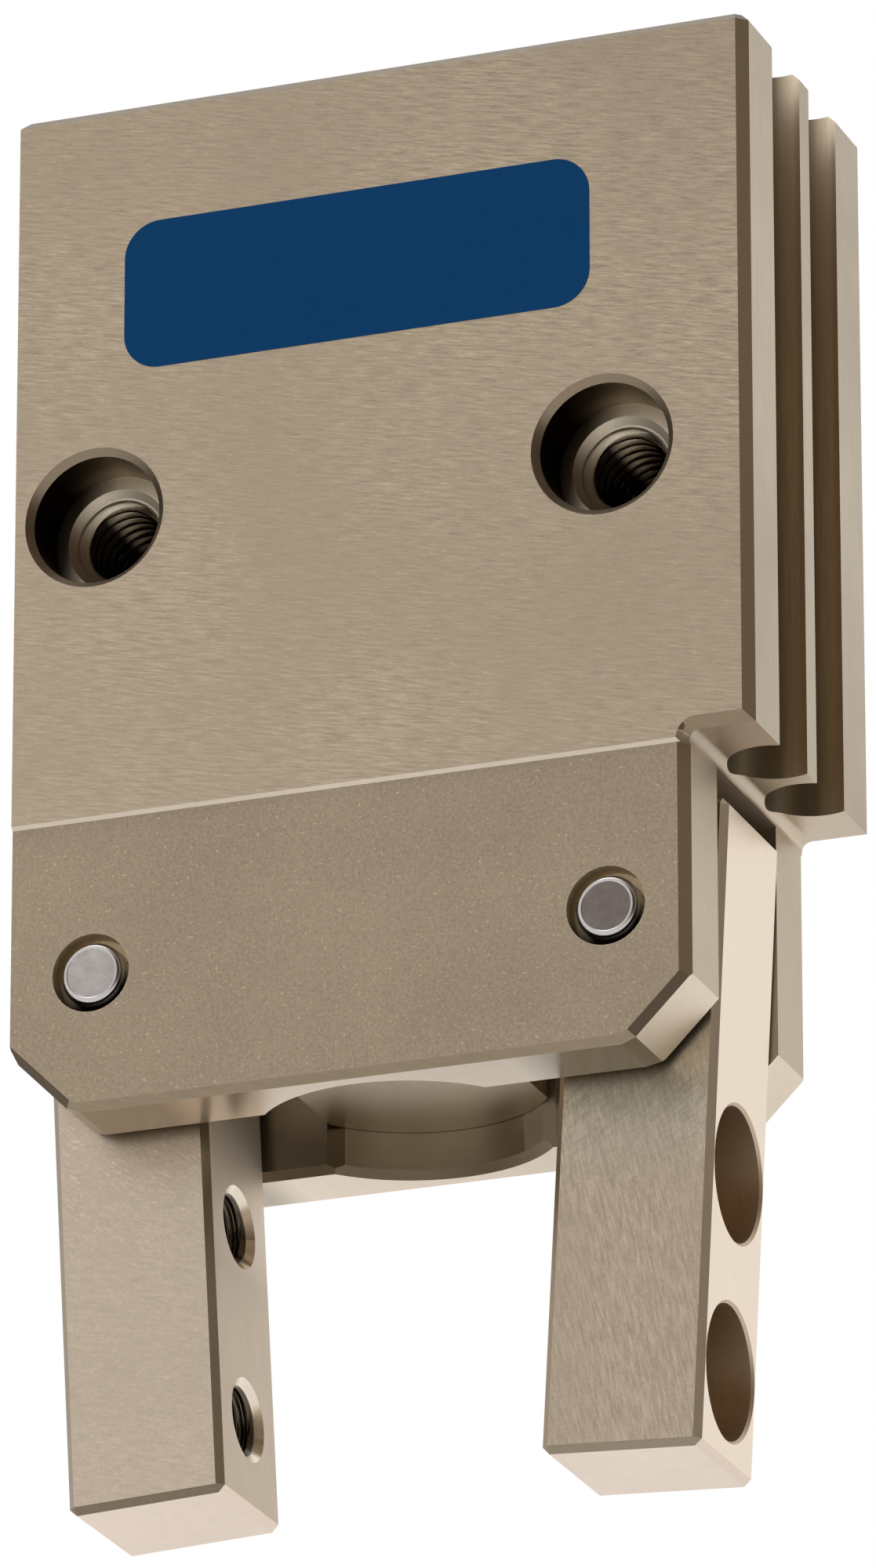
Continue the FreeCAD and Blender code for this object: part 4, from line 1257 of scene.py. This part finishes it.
@dataclass
class Jaw(Assembly):
    """One finger with its lever and the threads of its pad holes."""

    hand: str
    side: int
    front: Finish
    outer: float = 3.6
    inner: float = -3.3
    tip: float = -22.0
    slack: float = 0.01
    margin: float = 0.5
    holes: Pair = (9.5, 18.0)
    hole_reach: float = 2.98
    mouth_reach: float = 1.51
    thread_start: float = 0.1
    thread: ThreadSize = ThreadSize(3.1, 1.5, 0.5)

    def local(self, point: Vector) -> Pair:
        """Where a point lies on the jaw, with the lean taken out.

        Args:
            point: the point in millimetres.

        Returns:
            Its distance outwards and upwards from the pivot.
        """
        out = (point.x - self.side * PIVOT_X) * self.side
        up = point.z - PIVOT_Z
        cosine, sine = math.cos(JAW_LEAN), math.sin(JAW_LEAN)
        return out * cosine - up * sine, out * sine + up * cosine

    def world(self, out: float, up: float) -> Vector:
        """A point in the middle of the leaned jaw.

        Args:
            out: its distance outwards from the pivot.
            up: its distance upwards from the pivot.

        Returns:
            The point in the part's frame.
        """
        cosine, sine = math.cos(JAW_LEAN), math.sin(JAW_LEAN)
        across = self.side * (PIVOT_X + out * cosine + up * sine)
        return Vector((across, AXIS_Y, PIVOT_Z - out * sine + up * cosine))

    def zone(self, centre: Vector, normal: Vector) -> Finish:
        """Finish of a face of the jaw.

        Args:
            centre: the face's centre in millimetres.
            normal: the face's direction.

        Returns:
            Its finish.
        """
        out, up = self.local(centre)
        reach = min(math.hypot(centre.y - AXIS_Y, up + drop) for drop in self.holes)
        if reach < self.hole_reach and self.inner + self.slack < out < self.outer - self.slack:
            # The mouth takes the near-white finish and the thread the dark one: painted highlight and
            # shade.
            if out < 0.0 and reach > self.mouth_reach:
                return Finish.MOUTH
            return Finish.PAD_HOLE if out > 0.0 else Finish.PAD_THREAD
        if abs(normal.y) > SQUARE:
            return self.front
        if abs(normal.y) > LEANING:
            return self.chamfer(normal)
        if up < self.tip + self.margin:
            return Finish.FINGER_END
        return Finish.FINGER_SIDE if out > self.outer - self.margin else Finish.FINGER_INNER

    def chamfer(self, normal: Vector) -> Finish:
        """Finish of a chamfer of the jaw.

        Args:
            normal: the chamfer's direction.

        Returns:
            Its finish.
        """
        # The tones by side and direction paint light and shade on one chamfer metal.
        if normal.z < -LEANING:
            return Finish.FINGER_EDGE if self.side > 0 else Finish.SHADED_EDGE
        if normal.x < 0.0:
            return Finish.EDGE if self.side > 0 else Finish.FINGER_EDGE
        return Finish.FINGER_RIM if self.side > 0 else Finish.LEFT_EDGE

    def build(self) -> None:
        """Dress the jaw and wind its threads."""
        self.dress(f"{self.hand}_jaw", self.zone)
        self.dress_plain(Finish.BUSH, (f"{self.hand}_pivot_bush",))
        inward = self.world(-1.0, 0.0) - self.world(0.0, 0.0)
        for word, drop in zip(("upper", "lower"), self.holes):
            start = self.world(self.thread_start, -drop)
            thread = Thread(f"{self.hand}_{word}_pad_thread", start, inward, self.thread)
            thread.build(self.finishes, Finish.PAD_THREAD, f"{self.hand}_finger", "jaw_metal")


@dataclass
class Studio:
    """Floor, room light, lamp and camera.

    The room turns to its shade over a span of directions to the right, and dims towards a screen.
    """

    finishes: Finishes
    floor_level: float = -600.0
    floor_half: float = 2000.0
    room: Colour = (0.80, 0.792, 0.78)
    shade: Colour = (0.23, 0.19, 0.15)
    behind_span: Span = (-0.1, 0.5)
    aside_span: Span = (-0.1, 0.3)
    screen: Triple = (0.50, -0.78, 0.37)
    screen_span: Span = (0.80, 0.95)
    screen_light: Span = (1.0, 0.1)
    lamp_place: Triple = (-150.0, -60.0, 520.0)
    lamp_aim: Triple = (0.0, AXIS_Y, -10.0)
    lamp_size: float = 300.0
    lamp_watts: float = 0.8
    camera_place: Triple = (165.600, -441.149, -187.779)
    camera_right: Triple = (0.935076, 0.354447, -0.000285)
    camera_up: Triple = (0.126441, -0.332818, 0.934476)
    lens: float = 270.76
    sensor: float = 36.0
    nearest: float = 10.0
    farthest: float = 20000.0

    def floor(self) -> None:
        """Lay a wide pale floor below the part."""
        corners = ((-1, -1), (1, -1), (1, 1), (-1, 1))
        half = self.floor_half
        points = [Vector((x * half, y * half, self.floor_level)) for x, y in corners]
        floor = add_piece("floor", points, [(0, 1, 2, 3)], self.finishes[Finish.FLOOR])

    def world(self) -> None:
        """Set a white backdrop for the camera and for mirrors, in a room that is brown at the right."""
        world = bpy.data.worlds.new("studio")
        bpy.context.scene.world = world
        world.use_nodes = True
        world.node_tree.nodes.clear()
        tree = Tree(world.node_tree)
        direction = tree.add("ShaderNodeTexCoord").outputs["Generated"]
        parts = tree.add("ShaderNodeSeparateXYZ", Vector=direction)
        behind = tree.spread(parts.outputs["Y"], self.behind_span)
        aside = tree.blend(tree.spread(parts.outputs["X"], self.aside_span), self.room, self.shade)
        nearness = tree.vector("DOT_PRODUCT", direction, self.screen, output="Value")
        strength = tree.spread(nearness, self.screen_span, self.screen_light)
        path = tree.add("ShaderNodeLightPath")
        mirrored = tree.math("MULTIPLY", path.outputs["Is Glossy Ray"], behind)
        share = tree.math("MAXIMUM", tree.seen(path), mirrored)
        room = tree.add("ShaderNodeBackground", Color=aside, Strength=strength)
        white = tree.add("ShaderNodeBackground", Color=(1.0, 1.0, 1.0, 1.0), Strength=1.0)
        tree.finish(tree.mix(share, room.outputs[0], white.outputs[0]), "ShaderNodeOutputWorld")

    def lamp(self) -> None:
        """Hang a soft square lamp that faces the part."""
        light = bpy.data.lights.new("overhead_softbox", "AREA")
        light.size = self.lamp_size * MM
        light.energy = self.lamp_watts
        lamp = bpy.data.objects.new("overhead_softbox", light)
        lamp.location = Vector(self.lamp_place) * MM
        aim = Vector(self.lamp_aim) - Vector(self.lamp_place)
        lamp.rotation_euler = aim.to_track_quat("-Z", "Y").to_euler()
        bpy.context.scene.collection.objects.link(lamp)

    def camera(self) -> None:
        """Set the camera at the photograph's viewing angle."""
        data = bpy.data.cameras.new("camera")
        data.sensor_width = self.sensor
        data.lens = self.lens
        data.clip_start = self.nearest * MM
        data.clip_end = self.farthest * MM
        camera = bpy.data.objects.new("camera", data)
        right, up = Vector(self.camera_right), Vector(self.camera_up)
        turn = Matrix((right, up, right.cross(up))).transposed().to_4x4()
        camera.matrix_world = Matrix.Translation(Vector(self.camera_place) * MM) @ turn
        bpy.context.scene.collection.objects.link(camera)
        bpy.context.scene.camera = camera

    def build(self) -> None:
        """Set up the whole studio."""
        self.floor()
        self.world()
        self.lamp()
        self.camera()
        bpy.context.scene.view_settings.view_transform = "Standard"


def main() -> None:
    """Build the looks of every sub-assembly, then the studio."""
    logging.basicConfig(level=logging.INFO, format="%(name)s: %(message)s")
    finishes = Finishes()
    Body(finishes).build()
    Piston(finishes).build()
    for (hand, side), front in zip(HANDS, (Finish.LEFT_FRONT, Finish.RIGHT_FRONT)):
        Jaw(finishes, hand, side, front).build()
    Studio(finishes).build()


if __name__ == "__main__":
    main()
